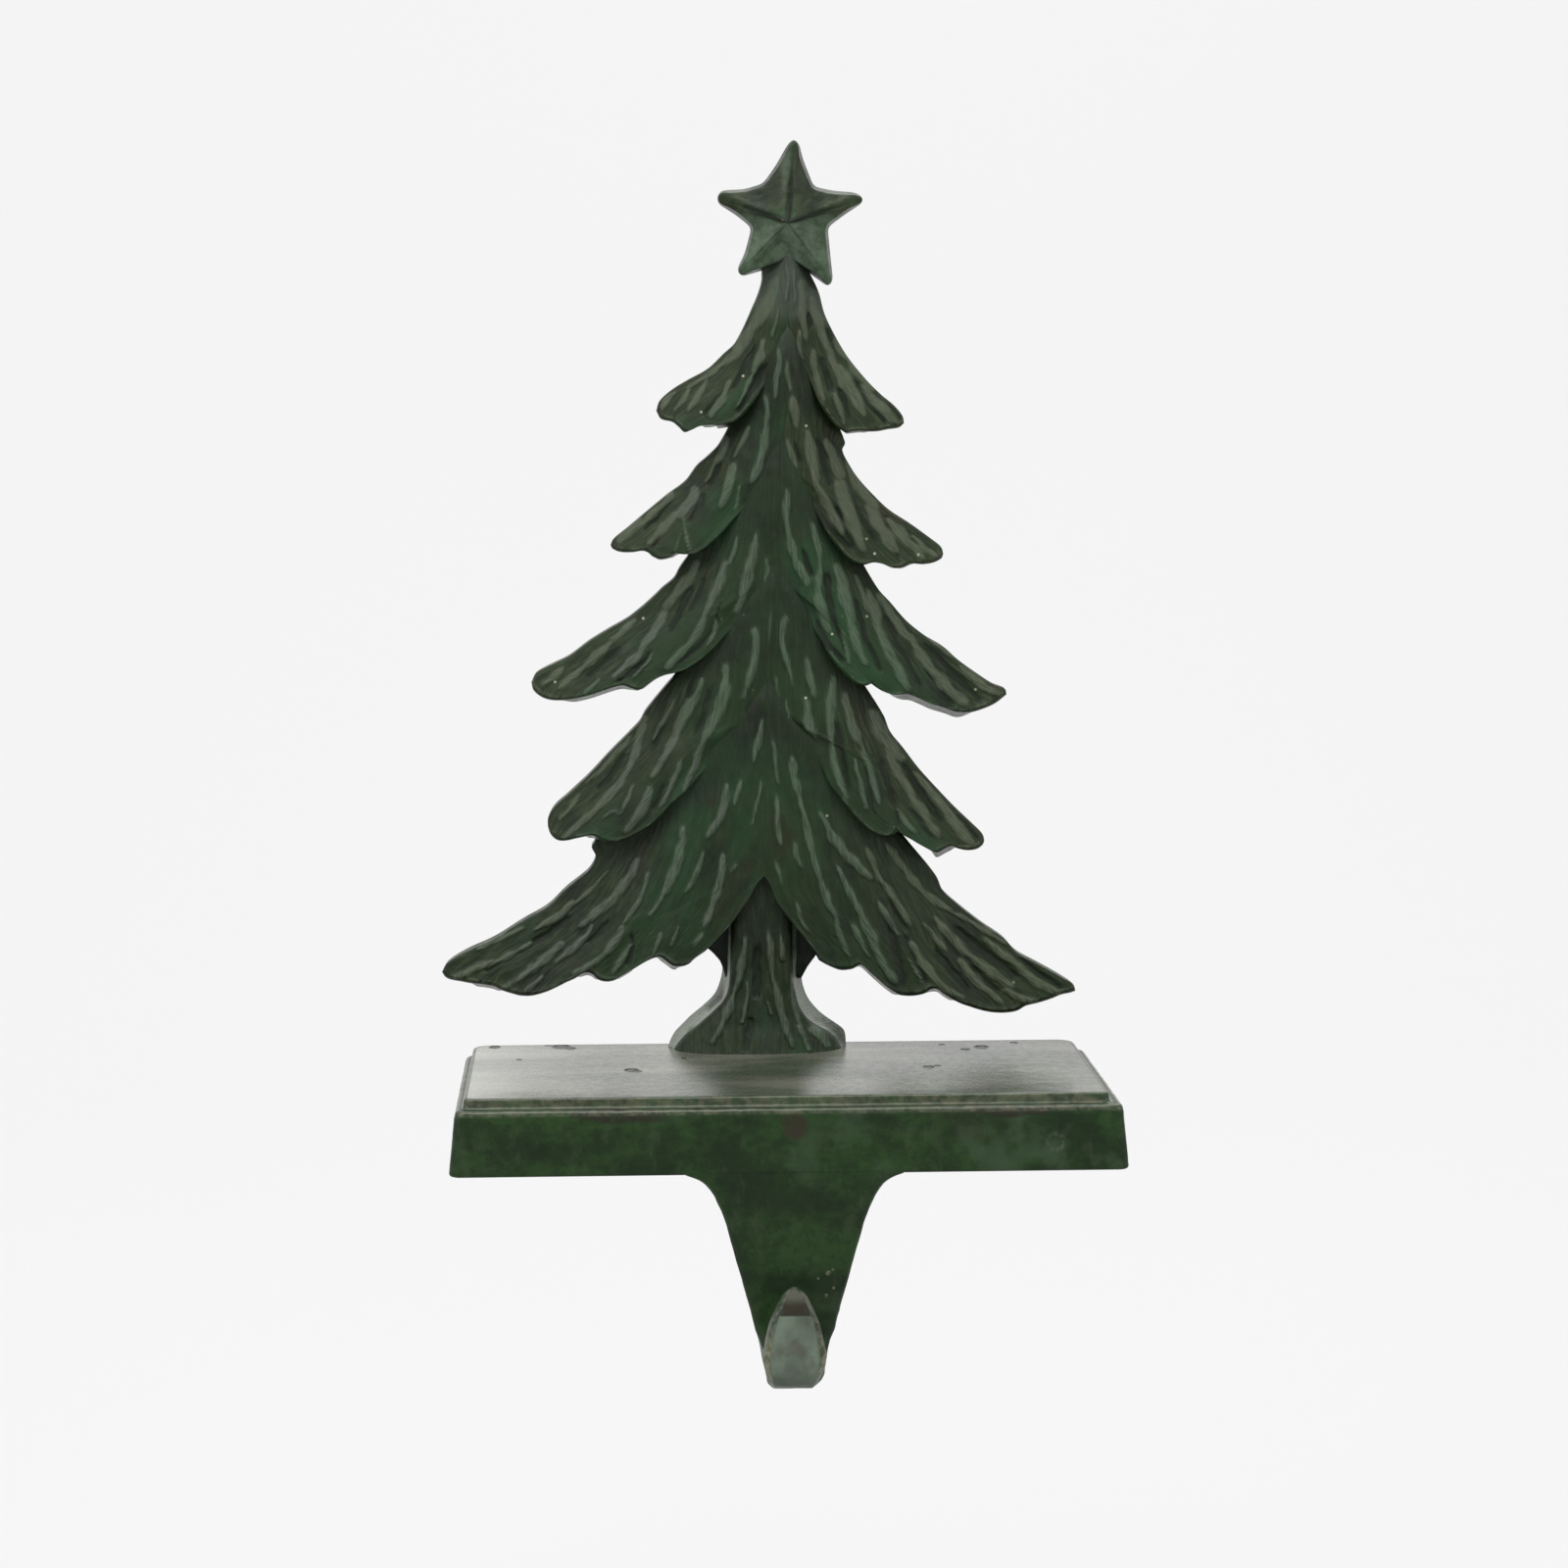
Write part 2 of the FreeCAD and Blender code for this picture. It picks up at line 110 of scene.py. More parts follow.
# Each tier: seam down the middle, then for the left and right bough its upper edge as
# seen against the backdrop, its lower edge from the inner corner to the tip, and its
# inner edge below the seam, all as (x, height above the base top)
TIERS = (
    {"seam": ((3.4, 180), (3.4, 168), (3.3, 155.5)),
     "left": (
        ((-2.2, 174), (-2.7, 170), (-4.2, 165.8), (-8.3, 157.3), (-10.9, 154.8), (-14.3, 151.6),
         (-18.8, 149.1), (-22.2, 147), (-24.8, 144.6), (-25.5, 142.5)),
        ((-12.2, 139.3), (-13.6, 139.4), (-16, 139.2), (-17.8, 138.4), (-19.4, 137.9),
         (-20.5, 138.9), (-22, 140.1), (-24.5, 140.8), (-25.5, 142.5)),
        ((0.6, 152.9), (-0.8, 150), (-3, 146.2), (-5.8, 142.4), (-8.5, 140.1), (-12.2, 139.3))),
     "right": (
        ((9.4, 168.5), (10.9, 163.3), (13.4, 158.2), (16, 154), (19.7, 149.5), (23.1, 146.1),
         (26.1, 143.6), (28.3, 141.2), (28.6, 139.8)),
        ((15.7, 137.7), (17.5, 138), (19, 138.1), (21, 138), (23, 138.1), (25, 138.5),
         (27.5, 138.9), (28.6, 139.8)),
        ((6.2, 152.9), (8.3, 148.3), (9.8, 144.6), (11.8, 141.4), (13.9, 139), (15.7, 137.7)))},
    {"seam": ((3.2, 163), (2.8, 146), (1.4, 129.5)),
     "left": (
        ((-12, 135.3), (-14.4, 132.8), (-16.7, 130.8), (-19.3, 127.4), (-23.2, 124.5),
         (-27.7, 120.8), (-32, 117.2), (-35, 114.7), (-35.6, 113.4)),
        ((-22.6, 110.7), (-23.5, 110.4), (-25, 110.3), (-26.5, 110.9), (-27.4, 111.7),
         (-28.6, 112.1), (-31, 111.8), (-33.5, 111.9), (-35.2, 112.6), (-35.6, 113.4)),
        ((-3, 124.2), (-4.9, 122.8), (-8.2, 119.4), (-11.8, 115.3), (-15, 112.5), (-17.5, 111.4),
         (-19.4, 112), (-20.9, 111.7), (-22.6, 110.7))),
     "right": (
        ((15.4, 135.7), (14.8, 134), (16.6, 130.4), (18.4, 127.8), (21.5, 124.4), (24.9, 121.2),
         (29.5, 118.2), (33.8, 115.1), (36.8, 112.8), (37.4, 111.2)),
        ((19.8, 108.8), (22, 109.4), (24, 109.1), (26.3, 108.2), (28.4, 108.3), (30.4, 109.1),
         (33, 109), (35.3, 109.4), (37, 110.3), (37.4, 111.2)),
        ((5.6, 124.8), (8.8, 121), (11.8, 115.8), (15.3, 111.3), (17.5, 109.6), (19.8, 108.8)))},
    {"seam": ((1.8, 139), (1.6, 121), (1.2, 104.5)),
     "left": (
        ((-20.4, 108.9), (-21.9, 106.3), (-24.5, 104.1), (-27.1, 101.6), (-31.6, 97.9),
         (-35.9, 95.4), (-40.2, 92.8), (-44.8, 89.4), (-49.1, 87.3), (-52, 85.6), (-53.1, 83.4)),
        ((-28.9, 81.8), (-30, 81.5), (-31.5, 82), (-33, 82.5), (-34.5, 82.3), (-37, 81.5),
         (-40, 80.5), (-43, 79.8), (-46, 79.4), (-49, 79.5), (-51, 80.2), (-52.7, 81.7),
         (-53.1, 83.4)),
        ((-5.8, 98.6), (-7.5, 96.5), (-10.5, 93.5), (-13, 90.6), (-16, 88), (-19, 86.1),
         (-22, 85.3), (-23.9, 84.9), (-26.3, 83.8), (-28.9, 81.8))),
     "right": (
        ((22.6, 104), (25.3, 101), (28.9, 96.9), (33.3, 93.4), (37, 91.2), (40.4, 88.2),
         (44.4, 85.3), (48.1, 82.9), (51.1, 81.6), (51.6, 80.2)),
        ((20.6, 82.2), (22, 82.9), (22.9, 82.9), (24.8, 81.3), (26.3, 80.2), (29.8, 80.2),
         (32, 79.4), (34.6, 78.2), (37.9, 77.2), (40.1, 76.4), (43.1, 76.2), (45.7, 76.8),
         (49, 78.2), (51.6, 80.2)),
        ((7.6, 98.2), (9, 94.8), (10.8, 91.7), (12.5, 88.6), (14.9, 85.6), (17.3, 83.3), (19, 82.4),
         (20.6, 82.2)))},
    {"seam": ((0.8, 113), (0.2, 94), (-1, 75.5)),
     "left": (
        ((-28.1, 77.4), (-29.4, 75.1), (-31.8, 72.5), (-36.1, 68.2), (-40.4, 63.6), (-45, 59.3),
         (-48.3, 56.3), (-49.7, 53.5), (-49.8, 51.5)),
        ((-34.5, 47.9), (-37, 48), (-38.5, 48.5), (-39.8, 49.3), (-41, 49.3), (-43.5, 48.8),
         (-46, 48.3), (-47.8, 48.5), (-49.2, 49.8), (-49.8, 51.5)),
        ((-9.8, 69.3), (-12, 66.8), (-14.5, 64.3), (-17, 61.5), (-19.5, 58.8), (-22.5, 56),
         (-25, 53.2), (-28, 50.7), (-31.5, 49), (-34.5, 47.9))),
     "right": (
        ((24, 76.1), (25.4, 72.6), (28.2, 69.1), (31.7, 64.5), (36, 59.7), (40.2, 55.3),
         (44.2, 51.5), (46.4, 49.2), (46.9, 47.7)),
        ((25, 48.6), (26.3, 48.9), (27.3, 49.6), (27.9, 50.8), (29, 49.7), (31, 47.8), (33.5, 46.3),
         (35.5, 45.2), (36.4, 44.9), (38, 45.7), (39.6, 46.4), (41, 45.9), (43.1, 45.5),
         (45.3, 45.8), (46.6, 46.8), (46.9, 47.7)),
        ((8.8, 71), (9.7, 66.5), (11.5, 62), (14, 58), (16.5, 54.8), (19.5, 51.5), (22, 49.5),
         (25, 48.6)))},
    {"seam": ((-1, 86), (-1.6, 60), (-2, 40.2)),
     "left": (
        ((-40.1, 47.7), (-39.3, 45.3), (-40.8, 42.3), (-45.6, 38.4), (-49.9, 34.3), (-55.6, 31),
         (-61.5, 27.3), (-68, 24.3), (-72, 21.7), (-73.4, 19.2)),
        ((-15, 23.4), (-17.5, 21.7), (-18.8, 20.5), (-20.5, 19.9), (-22.3, 20), (-24, 21.2),
         (-25.2, 22), (-26.5, 21.9), (-28.5, 21), (-31, 19.5), (-33.5, 18), (-35.5, 16.9),
         (-37.5, 16.7), (-39.2, 17.3), (-40.2, 18.3), (-41.3, 18.7), (-42.5, 18.4), (-44, 17.5),
         (-46, 16.6), (-48, 15.6), (-50.5, 14.5), (-53.5, 13.7), (-56, 13.7), (-58, 14.2),
         (-60.6, 15.1), (-62, 15.8), (-64, 16.2), (-67, 16.6), (-69, 17), (-71.5, 17.5),
         (-72.7, 18.1), (-73.4, 19.2)),
        ((-3.6, 38.4), (-5.2, 35.4), (-8, 31), (-11.5, 26.8), (-15, 23.4))),
     "right": (
        ((35.7, 40.5), (37.3, 37.1), (41.2, 33.5), (46.3, 29.5), (50.9, 26.3), (53.8, 23.2),
         (58.9, 20.3), (64, 17.4), (67, 15.2), (67.6, 13.6)),
        ((10.1, 21), (12.5, 19.7), (15, 18.8), (17.5, 19), (18.3, 19.4), (19.3, 19.9), (20.2, 19.4),
         (22, 17.7), (24, 15.9), (26, 14.3), (28, 13.1), (30, 12.8), (32, 12.9), (34, 13.4),
         (35.2, 14.2), (36.5, 14.2), (38, 13.1), (40, 11.9), (42, 10.9), (44, 10.2), (46.5, 9.4),
         (49, 8.9), (52, 8.8), (54.5, 9.2), (56.5, 10.3), (59, 10.9), (62, 11.8), (64.5, 12.8),
         (66.5, 13.2), (67.6, 13.6)),
        ((-0.9, 38.4), (0, 36.2), (1.2, 33.5), (3.3, 30.5), (6, 27), (8.5, 23.8), (10.1, 21)))},
)

# Needle strokes of each tier: start, middle, end and width
STROKES = (
    ((-2.1, 158, -2.8, 154.5, -4.7, 150.3, 1.9), (-4.6, 150.6, -6, 147.2, -8.2, 143.2, 1),
     (-9.6, 149.2, -11, 145.5, -14, 140.9, 2), (-14.4, 149.3, -16.3, 145.8, -18.7, 142.3, 1.3),
     (-18.2, 147.3, -19.9, 144.6, -21.7, 142.3, 1.3), (0.8, 171.5, -1.2, 166, -5.2, 159.5, 3.2),
     (-4.6, 161, -7.2, 156.5, -11.5, 152.3, 2.4), (-10.8, 153.2, -14, 150.3, -19, 147.2, 1.4),
     (1.3, 164.3, 0.7, 161.5, -0.3, 158.3, 0.9), (-21, 146.6, -23, 144.9, -24.8, 142.6, 1.5),
     (6.6, 171, 6.2, 166, 7.2, 157.5, 1.9), (8.2, 167.5, 10.1, 161, 12.4, 155.2, 2.4),
     (8.8, 156, 9.4, 150.5, 11.3, 144.4, 1.6), (12.5, 156.2, 13.6, 151.8, 15.2, 147.2, 1.8),
     (14.2, 152.6, 16.8, 147.6, 20, 141, 3), (13.4, 146.6, 14.7, 143, 15.7, 139.3, 1.3),
     (19.3, 148.4, 22.6, 144, 27.2, 139.8, 2.3), (13.2, 158.6, 17, 152.4, 22.4, 146.6, 1.5),
     (5.6, 160, 5.8, 156.5, 6.6, 153.4, 1.2), (2.6, 174, 3, 170, 2.5, 166, 0.9),
     (4.4, 173.5, 4.7, 169, 4.3, 165, 0.8)),
    ((-2.2, 146, -1.4, 141.5, -1.6, 137, 1.6), (-1.1, 140, -2.4, 134, -4.7, 126.6, 2.2),
     (0.4, 133.2, 0.6, 129.5, 0.1, 125.8, 0.8), (1.2, 156, 1, 151, 0.4, 145, 1.4),
     (3.3, 153.2, 3.2, 150, 3.6, 146.6, 1.2), (4, 145.6, 4.8, 142, 5.2, 138.8, 2),
     (-5.4, 139.4, -6.9, 135.8, -8.6, 132.3, 1.2), (-10.3, 137.2, -11.2, 134, -12.8, 131, 1.9),
     (-12.6, 131.8, -13.6, 129.3, -14.9, 126.9, 1), (-8.7, 131.2, -9.6, 127, -11.5, 121.3, 2.3),
     (-7.3, 126.3, -7.8, 123.5, -8.5, 120.6, 0.9), (-16.8, 126.2, -18.5, 122.8, -21, 119.3, 2.4),
     (-21.4, 120.6, -23.5, 117.6, -27.6, 113.4, 1.9),
     (-19.9, 119.6, -18.9, 115.3, -17.8, 111.6, 0.9), (-20.1, 116.2, -21, 113.6, -21.8, 111.2, 0.7),
     (-21.7, 124.8, -25.5, 121, -29.6, 117.1, 2), (-28.9, 119.3, -31.4, 116.5, -34.2, 113.9, 2.3),
     (3.3, 136.3, 4, 133, 5.2, 129.7, 1.3), (7.6, 138.4, 8.4, 132.5, 9.7, 126.8, 2.9),
     (9.1, 127.6, 12, 121.8, 15.6, 115.2, 2.1), (11.7, 136.6, 13.5, 131.8, 15.2, 127.6, 2.4),
     (14.6, 127.6, 16.4, 120.5, 20.2, 111.6, 3.1), (16, 131.8, 19, 126.4, 22.6, 120.6, 2.6),
     (20.6, 122.2, 23.5, 117, 27.2, 111.4, 3), (24.8, 119.2, 28.8, 114.6, 33.2, 110.3, 2.6),
     (30.3, 115.4, 33.4, 112.6, 36.4, 110.4, 1.3)),
    ((-3.8, 116, -4.9, 108.5, -8.3, 98, 2.3), (-7.9, 115.5, -8.8, 111.8, -10.2, 108.8, 1),
     (-10.7, 110, -12.3, 104.2, -15.6, 96.8, 2.2), (-14.9, 98.8, -17.6, 92.8, -24, 85.9, 1.9),
     (-1.5, 110.4, -1.2, 107.5, -1.9, 104.8, 0.9), (-16.2, 110, -19.8, 104.6, -24.2, 99.2, 2.6),
     (-23.6, 99, -26, 94.6, -29.4, 90.1, 2), (-28.4, 91.3, -31, 88, -35.8, 84.3, 1.8),
     (-12.5, 97.6, -13, 94.5, -14.2, 91.3, 1), (-30.3, 97.2, -33.2, 94.2, -36.3, 91.3, 1.8),
     (-35.6, 92.2, -38.5, 89.3, -41.9, 86.2, 2.1), (-41, 87.2, -44, 84.6, -47.4, 81.7, 1.6),
     (-26.6, 90, -28, 87.5, -30.8, 84.3, 1), (-38, 84.2, -40, 82.3, -42.2, 80.8, 0.9),
     (-46, 86.5, -48.5, 84.5, -51, 82.5, 1.6), (3.2, 125.5, 3, 119.5, 4.2, 112.8, 1.5),
     (3.8, 115, 5, 109.6, 8.1, 104.3, 2.2), (8.4, 118.3, 9.9, 111.8, 10.3, 105, 1.6),
     (9.9, 107, 10.5, 100, 12.6, 93.8, 2.3), (13.9, 109.3, 15.7, 102.5, 17.4, 95.8, 2.9),
     (16.8, 97.3, 18.3, 91.8, 20.7, 86.8, 2.2), (17.9, 107, 19.4, 103, 20.9, 98.3, 1.5),
     (20.9, 103.8, 22.4, 97.8, 24.6, 91.3, 2.4), (24, 93, 26.5, 87.6, 30, 80.9, 2.7),
     (22.9, 103, 27, 96.3, 31.7, 90.8, 2), (29.8, 93.8, 32.8, 88.7, 36.2, 83.8, 2.4),
     (34, 87.2, 38, 82.3, 43, 77.9, 2.8), (41, 86.8, 44.8, 83.3, 48.8, 80.2, 1.9),
     (30, 97, 36, 91.8, 43, 86.8, 1.4), (15.2, 94.8, 15.8, 91.2, 16.9, 86.8, 1.2),
     (43.5, 84.5, 47, 82, 50.5, 80.2, 1.3)),
    ((-4.3, 95.2, -3.9, 89.5, -6.9, 79.3, 1.9), (-1, 98.6, -1.2, 94.2, -1.6, 89.8, 0.9),
     (3.4, 97.6, 1.9, 93, 4.6, 82, 1.4), (0.6, 84.7, 0.9, 81.5, 1.1, 78.5, 1),
     (-10.4, 87.5, -11.6, 79, -15.4, 70.5, 2.5), (-15, 71.8, -16.8, 66.5, -20, 58.4, 1.6),
     (-15.7, 84.3, -17.2, 79.8, -19.6, 74.8, 1.7), (-18.4, 80, -20.7, 73.8, -22.8, 68.6, 2.1),
     (-20.2, 73.8, -23, 68.8, -27.1, 61.9, 1.8), (-21.7, 79.8, -24, 75.3, -26.7, 70.4, 1.1),
     (-28.2, 76.2, -30, 69.3, -32.6, 62.8, 2.4), (-31.8, 64.4, -35.5, 59, -40.2, 54.2, 2.2),
     (-38.3, 55.9, -42.4, 52.3, -46.7, 48.9, 1.7), (-31, 60.8, -32.2, 57.8, -33.6, 54.8, 1),
     (-20.7, 66, -22.4, 60.5, -25.4, 55.7, 1.3), (-27.4, 60.3, -29, 55.2, -33.1, 49.8, 2.2),
     (-42.4, 58.7, -44.7, 55.8, -47.6, 52.8, 1.3), (-37.6, 53, -35.8, 54.5, -33.4, 54.3, 0.7),
     (-31.2, 71.8, -36, 66.2, -41.5, 60.8, 1.2), (7.4, 88.5, 8.2, 84, 9.1, 79.5, 1.6),
     (3, 79.2, 3.2, 75.5, 3.4, 71.8, 0.8), (7.4, 79.3, 7.7, 74, 8.5, 67.8, 2.6),
     (13.5, 84.8, 12.7, 77, 12.9, 69.8, 1.9), (13, 70.8, 13.8, 64, 16.4, 56.6, 1.6),
     (16, 80.8, 17, 74.6, 19.1, 69.3, 2.2), (19.3, 70, 21.4, 63.4, 23.6, 55.6, 1.6),
     (18.4, 66.3, 19, 61, 20.9, 54.6, 1.2), (21.8, 77.2, 24.3, 71.2, 29.2, 65.6, 3.4),
     (25, 68.3, 27.6, 63, 31.6, 57.2, 2), (30, 59.2, 33.4, 53.8, 37.2, 48.3, 2.1),
     (31, 63.3, 36, 57.2, 42.2, 50.2, 1.9), (38, 55.2, 41, 50.4, 44.4, 46.8, 2.2),
     (27.3, 55.2, 29.3, 52.2, 31.6, 49.3, 1.2), (-1.9, 79.3, -2.3, 74, -3.3, 68.8, 1)),
    ((-2.3, 75, -3.2, 70, -4.6, 65.3, 1.3), (0, 70.3, 0.4, 65, 1.3, 60.3, 0.9),
     (-10.5, 60.8, -11.3, 55, -15, 48.6, 1.9), (-7.1, 61.3, -7.9, 58.3, -8.7, 55.6, 1.2),
     (-2.8, 61.3, -3.5, 57, -5.1, 51, 0.9), (0.8, 58, 0.8, 52.5, 1.6, 46.8, 1.4),
     (-20, 51.5, -21.3, 43.5, -24.3, 35.8, 2.3), (-24.2, 36.4, -25.6, 33.8, -27.6, 31.3, 1.1),
     (-15.4, 45.8, -16.8, 41, -19.9, 36.2, 1.1), (-11, 45.3, -12, 38.5, -15.6, 28.2, 1.8),
     (-15.8, 27.2, -16.8, 25.6, -17.8, 24.4, 1), (-8.2, 43.2, -8.8, 42, -9.4, 40.8, 0.7),
     (-21.1, 29.2, -22, 26.6, -23, 24.2, 0.7), (-24.7, 27.6, -25.5, 25.2, -27, 22.4, 1.3),
     (-29.8, 44.6, -34.8, 36.2, -43.6, 28.8, 2.1), (-27.8, 41.3, -29.5, 35.6, -33.6, 29.2, 1.1),
     (-33.5, 29.4, -35.5, 25.2, -39, 21.6, 2), (-38, 22.7, -41, 20.2, -45, 18.6, 1.5),
     (-36.4, 41.7, -40.4, 37.4, -45.6, 33.3, 1.3), (-44.4, 35, -47.6, 31.6, -53.2, 28.3, 1.6),
     (-40, 29.6, -43, 25.4, -48.6, 20.9, 1.7), (-46.4, 25.7, -50.5, 22, -56.2, 17.8, 2.3),
     (-53, 19.7, -57, 17, -60.2, 15.4, 1.4), (-53.4, 25.7, -59, 22.5, -64.6, 19.9, 1.3),
     (-62, 21.6, -66, 19.8, -71.2, 17.8, 1.7), (-50.8, 18.2, -53.2, 16.2, -55.2, 14.4, 1.2),
     (-31.7, 25.2, -33.7, 21.7, -35.9, 18.2, 1.3), (-55, 29, -60, 26.8, -66, 24, 1.2),
     (4.5, 47.6, 5.2, 44.8, 6.6, 41.8, 1.2), (4.1, 66.8, 4.9, 60.5, 6.6, 53.6, 1.7),
     (6.5, 54.8, 8.3, 46.5, 10.6, 38.3, 1.7), (10.3, 39.3, 12, 34.6, 13.9, 30.3, 2.1),
     (13.7, 30.8, 15.2, 26.2, 17.1, 21.5, 1.3), (10.3, 54.3, 13.4, 48.6, 16.2, 44.7, 2),
     (15.4, 45.7, 18.6, 42.3, 22.2, 39.2, 2.3), (14.4, 42.3, 16.5, 37.6, 19.1, 32.2, 1.4),
     (18.4, 33.8, 20.9, 28, 24.1, 20.3, 2.2), (23.4, 21.8, 25.4, 18.6, 27.7, 15.7, 2),
     (17.7, 29.2, 19.2, 25.6, 21.4, 21.3, 1.4), (20.7, 46.3, 22.5, 42, 24.6, 37.8, 1.7),
     (24.4, 38.3, 27.5, 34, 30.7, 28.2, 2), (23.7, 34.2, 25.4, 30.6, 28.1, 26.6, 1.4),
     (27.2, 26.7, 28.6, 26.7, 30, 27.3, 0.6), (25, 47.3, 29, 41.6, 33.2, 36.3, 2.1),
     (32.4, 37.2, 36.4, 34, 40.2, 31.8, 1.9), (30.7, 25.2, 33.2, 20.5, 38, 14.8, 2),
     (37.8, 15.2, 40, 13.6, 42.7, 12.3, 1.4), (33.3, 29.2, 36, 26, 38.7, 22.8, 1.6),
     (29.9, 21.2, 31.5, 18.5, 33.4, 15.6, 0.9), (35.8, 30.8, 40, 25.5, 44.7, 20.8, 2.1),
     (43.3, 22.3, 48.4, 18, 53.7, 14.3, 2.2), (51.3, 14.2, 55.5, 12, 59.2, 11.2, 1.6),
     (41.4, 21.2, 45.4, 16, 51.7, 10.6, 2.1), (46.8, 25.7, 51, 22, 55.2, 19.1, 1.6),
     (54.3, 19.9, 58.4, 16, 64.7, 12.9, 2), (38, 32.6, 46, 28, 52, 24.2, 1.2),
     (5, 34.3, 6, 31, 7.6, 27.3, 1), (0.5, 43.2, 1.2, 40.6, 2.1, 37.8, 0.7)),
)

# Grooves of each tier, drawn the same way; they are cut in, and their colour carries painted shade
GROOVES = (
    ((-1.3, 152.6, -4.4, 147.6, -8.2, 141.9, 1.9), (-3.9, 157, -6.2, 152, -9, 147, 1.4),
     (7.6, 163.8, 7.9, 162, 8.3, 160.3, 1.7), (11.3, 160.6, 12.3, 158.9, 13.3, 157.4, 1.5),
     (10.6, 154.2, 11.7, 150.4, 13, 146.4, 1.8), (14.5, 147.4, 15.7, 144, 17, 140.3, 1.2),
     (17.6, 149.3, 21, 144.5, 24.7, 139.8, 1.7), (24.6, 144.6, 26.4, 142.4, 27.8, 140.8, 0.9),
     (-10.3, 148, -12.6, 144.5, -15.6, 141.2, 0.9)),
    ((9.5, 136.6, 11.2, 131.5, 12.9, 125.8, 1.9), (13.7, 121.8, 15.4, 117.6, 17.8, 112.6, 1.3),
     (16.3, 125.4, 19.3, 119.6, 22.5, 113.6, 1.5), (24.8, 114.2, 26.3, 112.2, 27.8, 109.6, 0.9),
     (24.4, 119.7, 26.4, 118, 28.7, 115.8, 1), (32, 114.4, 34.2, 112.4, 36, 111, 0.8),
     (6.5, 126, 10.5, 119, 18, 112, 1.8), (-11.7, 131.8, -12.6, 129.3, -14.2, 126.2, 1.6),
     (-22.2, 123.3, -24.8, 120.2, -28.4, 116.2, 1.2), (-15.3, 124.5, -16.5, 121.5, -18.5, 118, 1.4),
     (-24.6, 115.8, -26, 114, -27, 112.2, 1.2), (4.8, 136, 5.4, 133, 6, 131, 1)),
    ((11.7, 107.3, 12.6, 101, 14.1, 95, 1.8), (13.8, 95.8, 15, 92.5, 16.1, 89, 1.4),
     (18.2, 101.4, 19.4, 95.8, 21.6, 90, 1.5), (21.2, 91, 22.4, 88.2, 24, 85.3, 1.3),
     (23.8, 99.4, 27, 92.5, 32.6, 81.4, 1.5), (32.8, 91.7, 38.5, 86, 46.6, 77.9, 1.5),
     (33.4, 86.2, 37, 81.2, 39.7, 77.4, 1.4), (6.5, 112.5, 7.4, 109.5, 8.9, 106.2, 1.6),
     (9.6, 97, 11.2, 92.5, 15.8, 87.3, 1.8), (-11.4, 100.8, -12.8, 96, -14.8, 92.6, 1.2),
     (-14.5, 93, -17.5, 90, -21.3, 87.3, 1.3), (-27, 90.2, -29.8, 86.4, -34.8, 83.3, 1.7),
     (-17.8, 104.5, -20, 99.5, -23, 94, 1.6), (-33.5, 91, -37.5, 87.3, -41, 84.2, 1.4),
     (-15.2, 106.5, -16.3, 103, -18.3, 98.5, 1.3)),
    ((28.6, 65.3, 32.4, 59, 37.7, 51.2, 1.7), (40.4, 53.8, 43, 50.6, 45.7, 47.8, 1.2),
     (23.4, 65.8, 24.9, 61.5, 26.5, 55.8, 1.9), (20.2, 64.4, 21.3, 60, 22.8, 52.8, 1),
     (14.3, 74.3, 15, 68, 16.9, 58, 1.6), (26.7, 57.2, 27.4, 53.8, 28, 51.2, 0.9),
     (30.4, 54.8, 32.8, 51.2, 35.6, 48.2, 0.8), (-32.8, 68, -35.8, 62.8, -38.8, 59.6, 1.6),
     (-17.8, 84, -19.3, 78.5, -20.5, 75.5, 1), (-23, 76.8, -24.8, 72, -27.2, 67.5, 1.4),
     (-14.3, 82, -15, 77, -17.5, 71, 1.2), (-24, 61, -25.3, 58, -26.8, 55, 1.2)),
    ((26.2, 29.5, 27.6, 22, 29.2, 14.3, 2.4), (29.4, 26.3, 31.4, 22, 34.6, 14.8, 1.4),
     (36, 23.3, 39.4, 19, 43.7, 13.8, 1.7), (44, 19.7, 47.8, 15.6, 50.7, 13.3, 1.2),
     (40.3, 28.3, 47, 22.6, 55.2, 16.3, 2), (54.8, 21.2, 60.8, 16.6, 65.7, 13.4, 1.2),
     (25.8, 34.3, 27.8, 31, 29.8, 27.6, 1), (-36.5, 30.5, -39, 27.5, -41.5, 25.3, 1.2),
     (-55, 24, -60, 21.8, -64, 19.2, 1.5), (-45, 31.5, -50, 27.5, -55, 24.5, 1.6),
     (-32, 27.5, -31.5, 24, -33, 20, 1.5)),
)

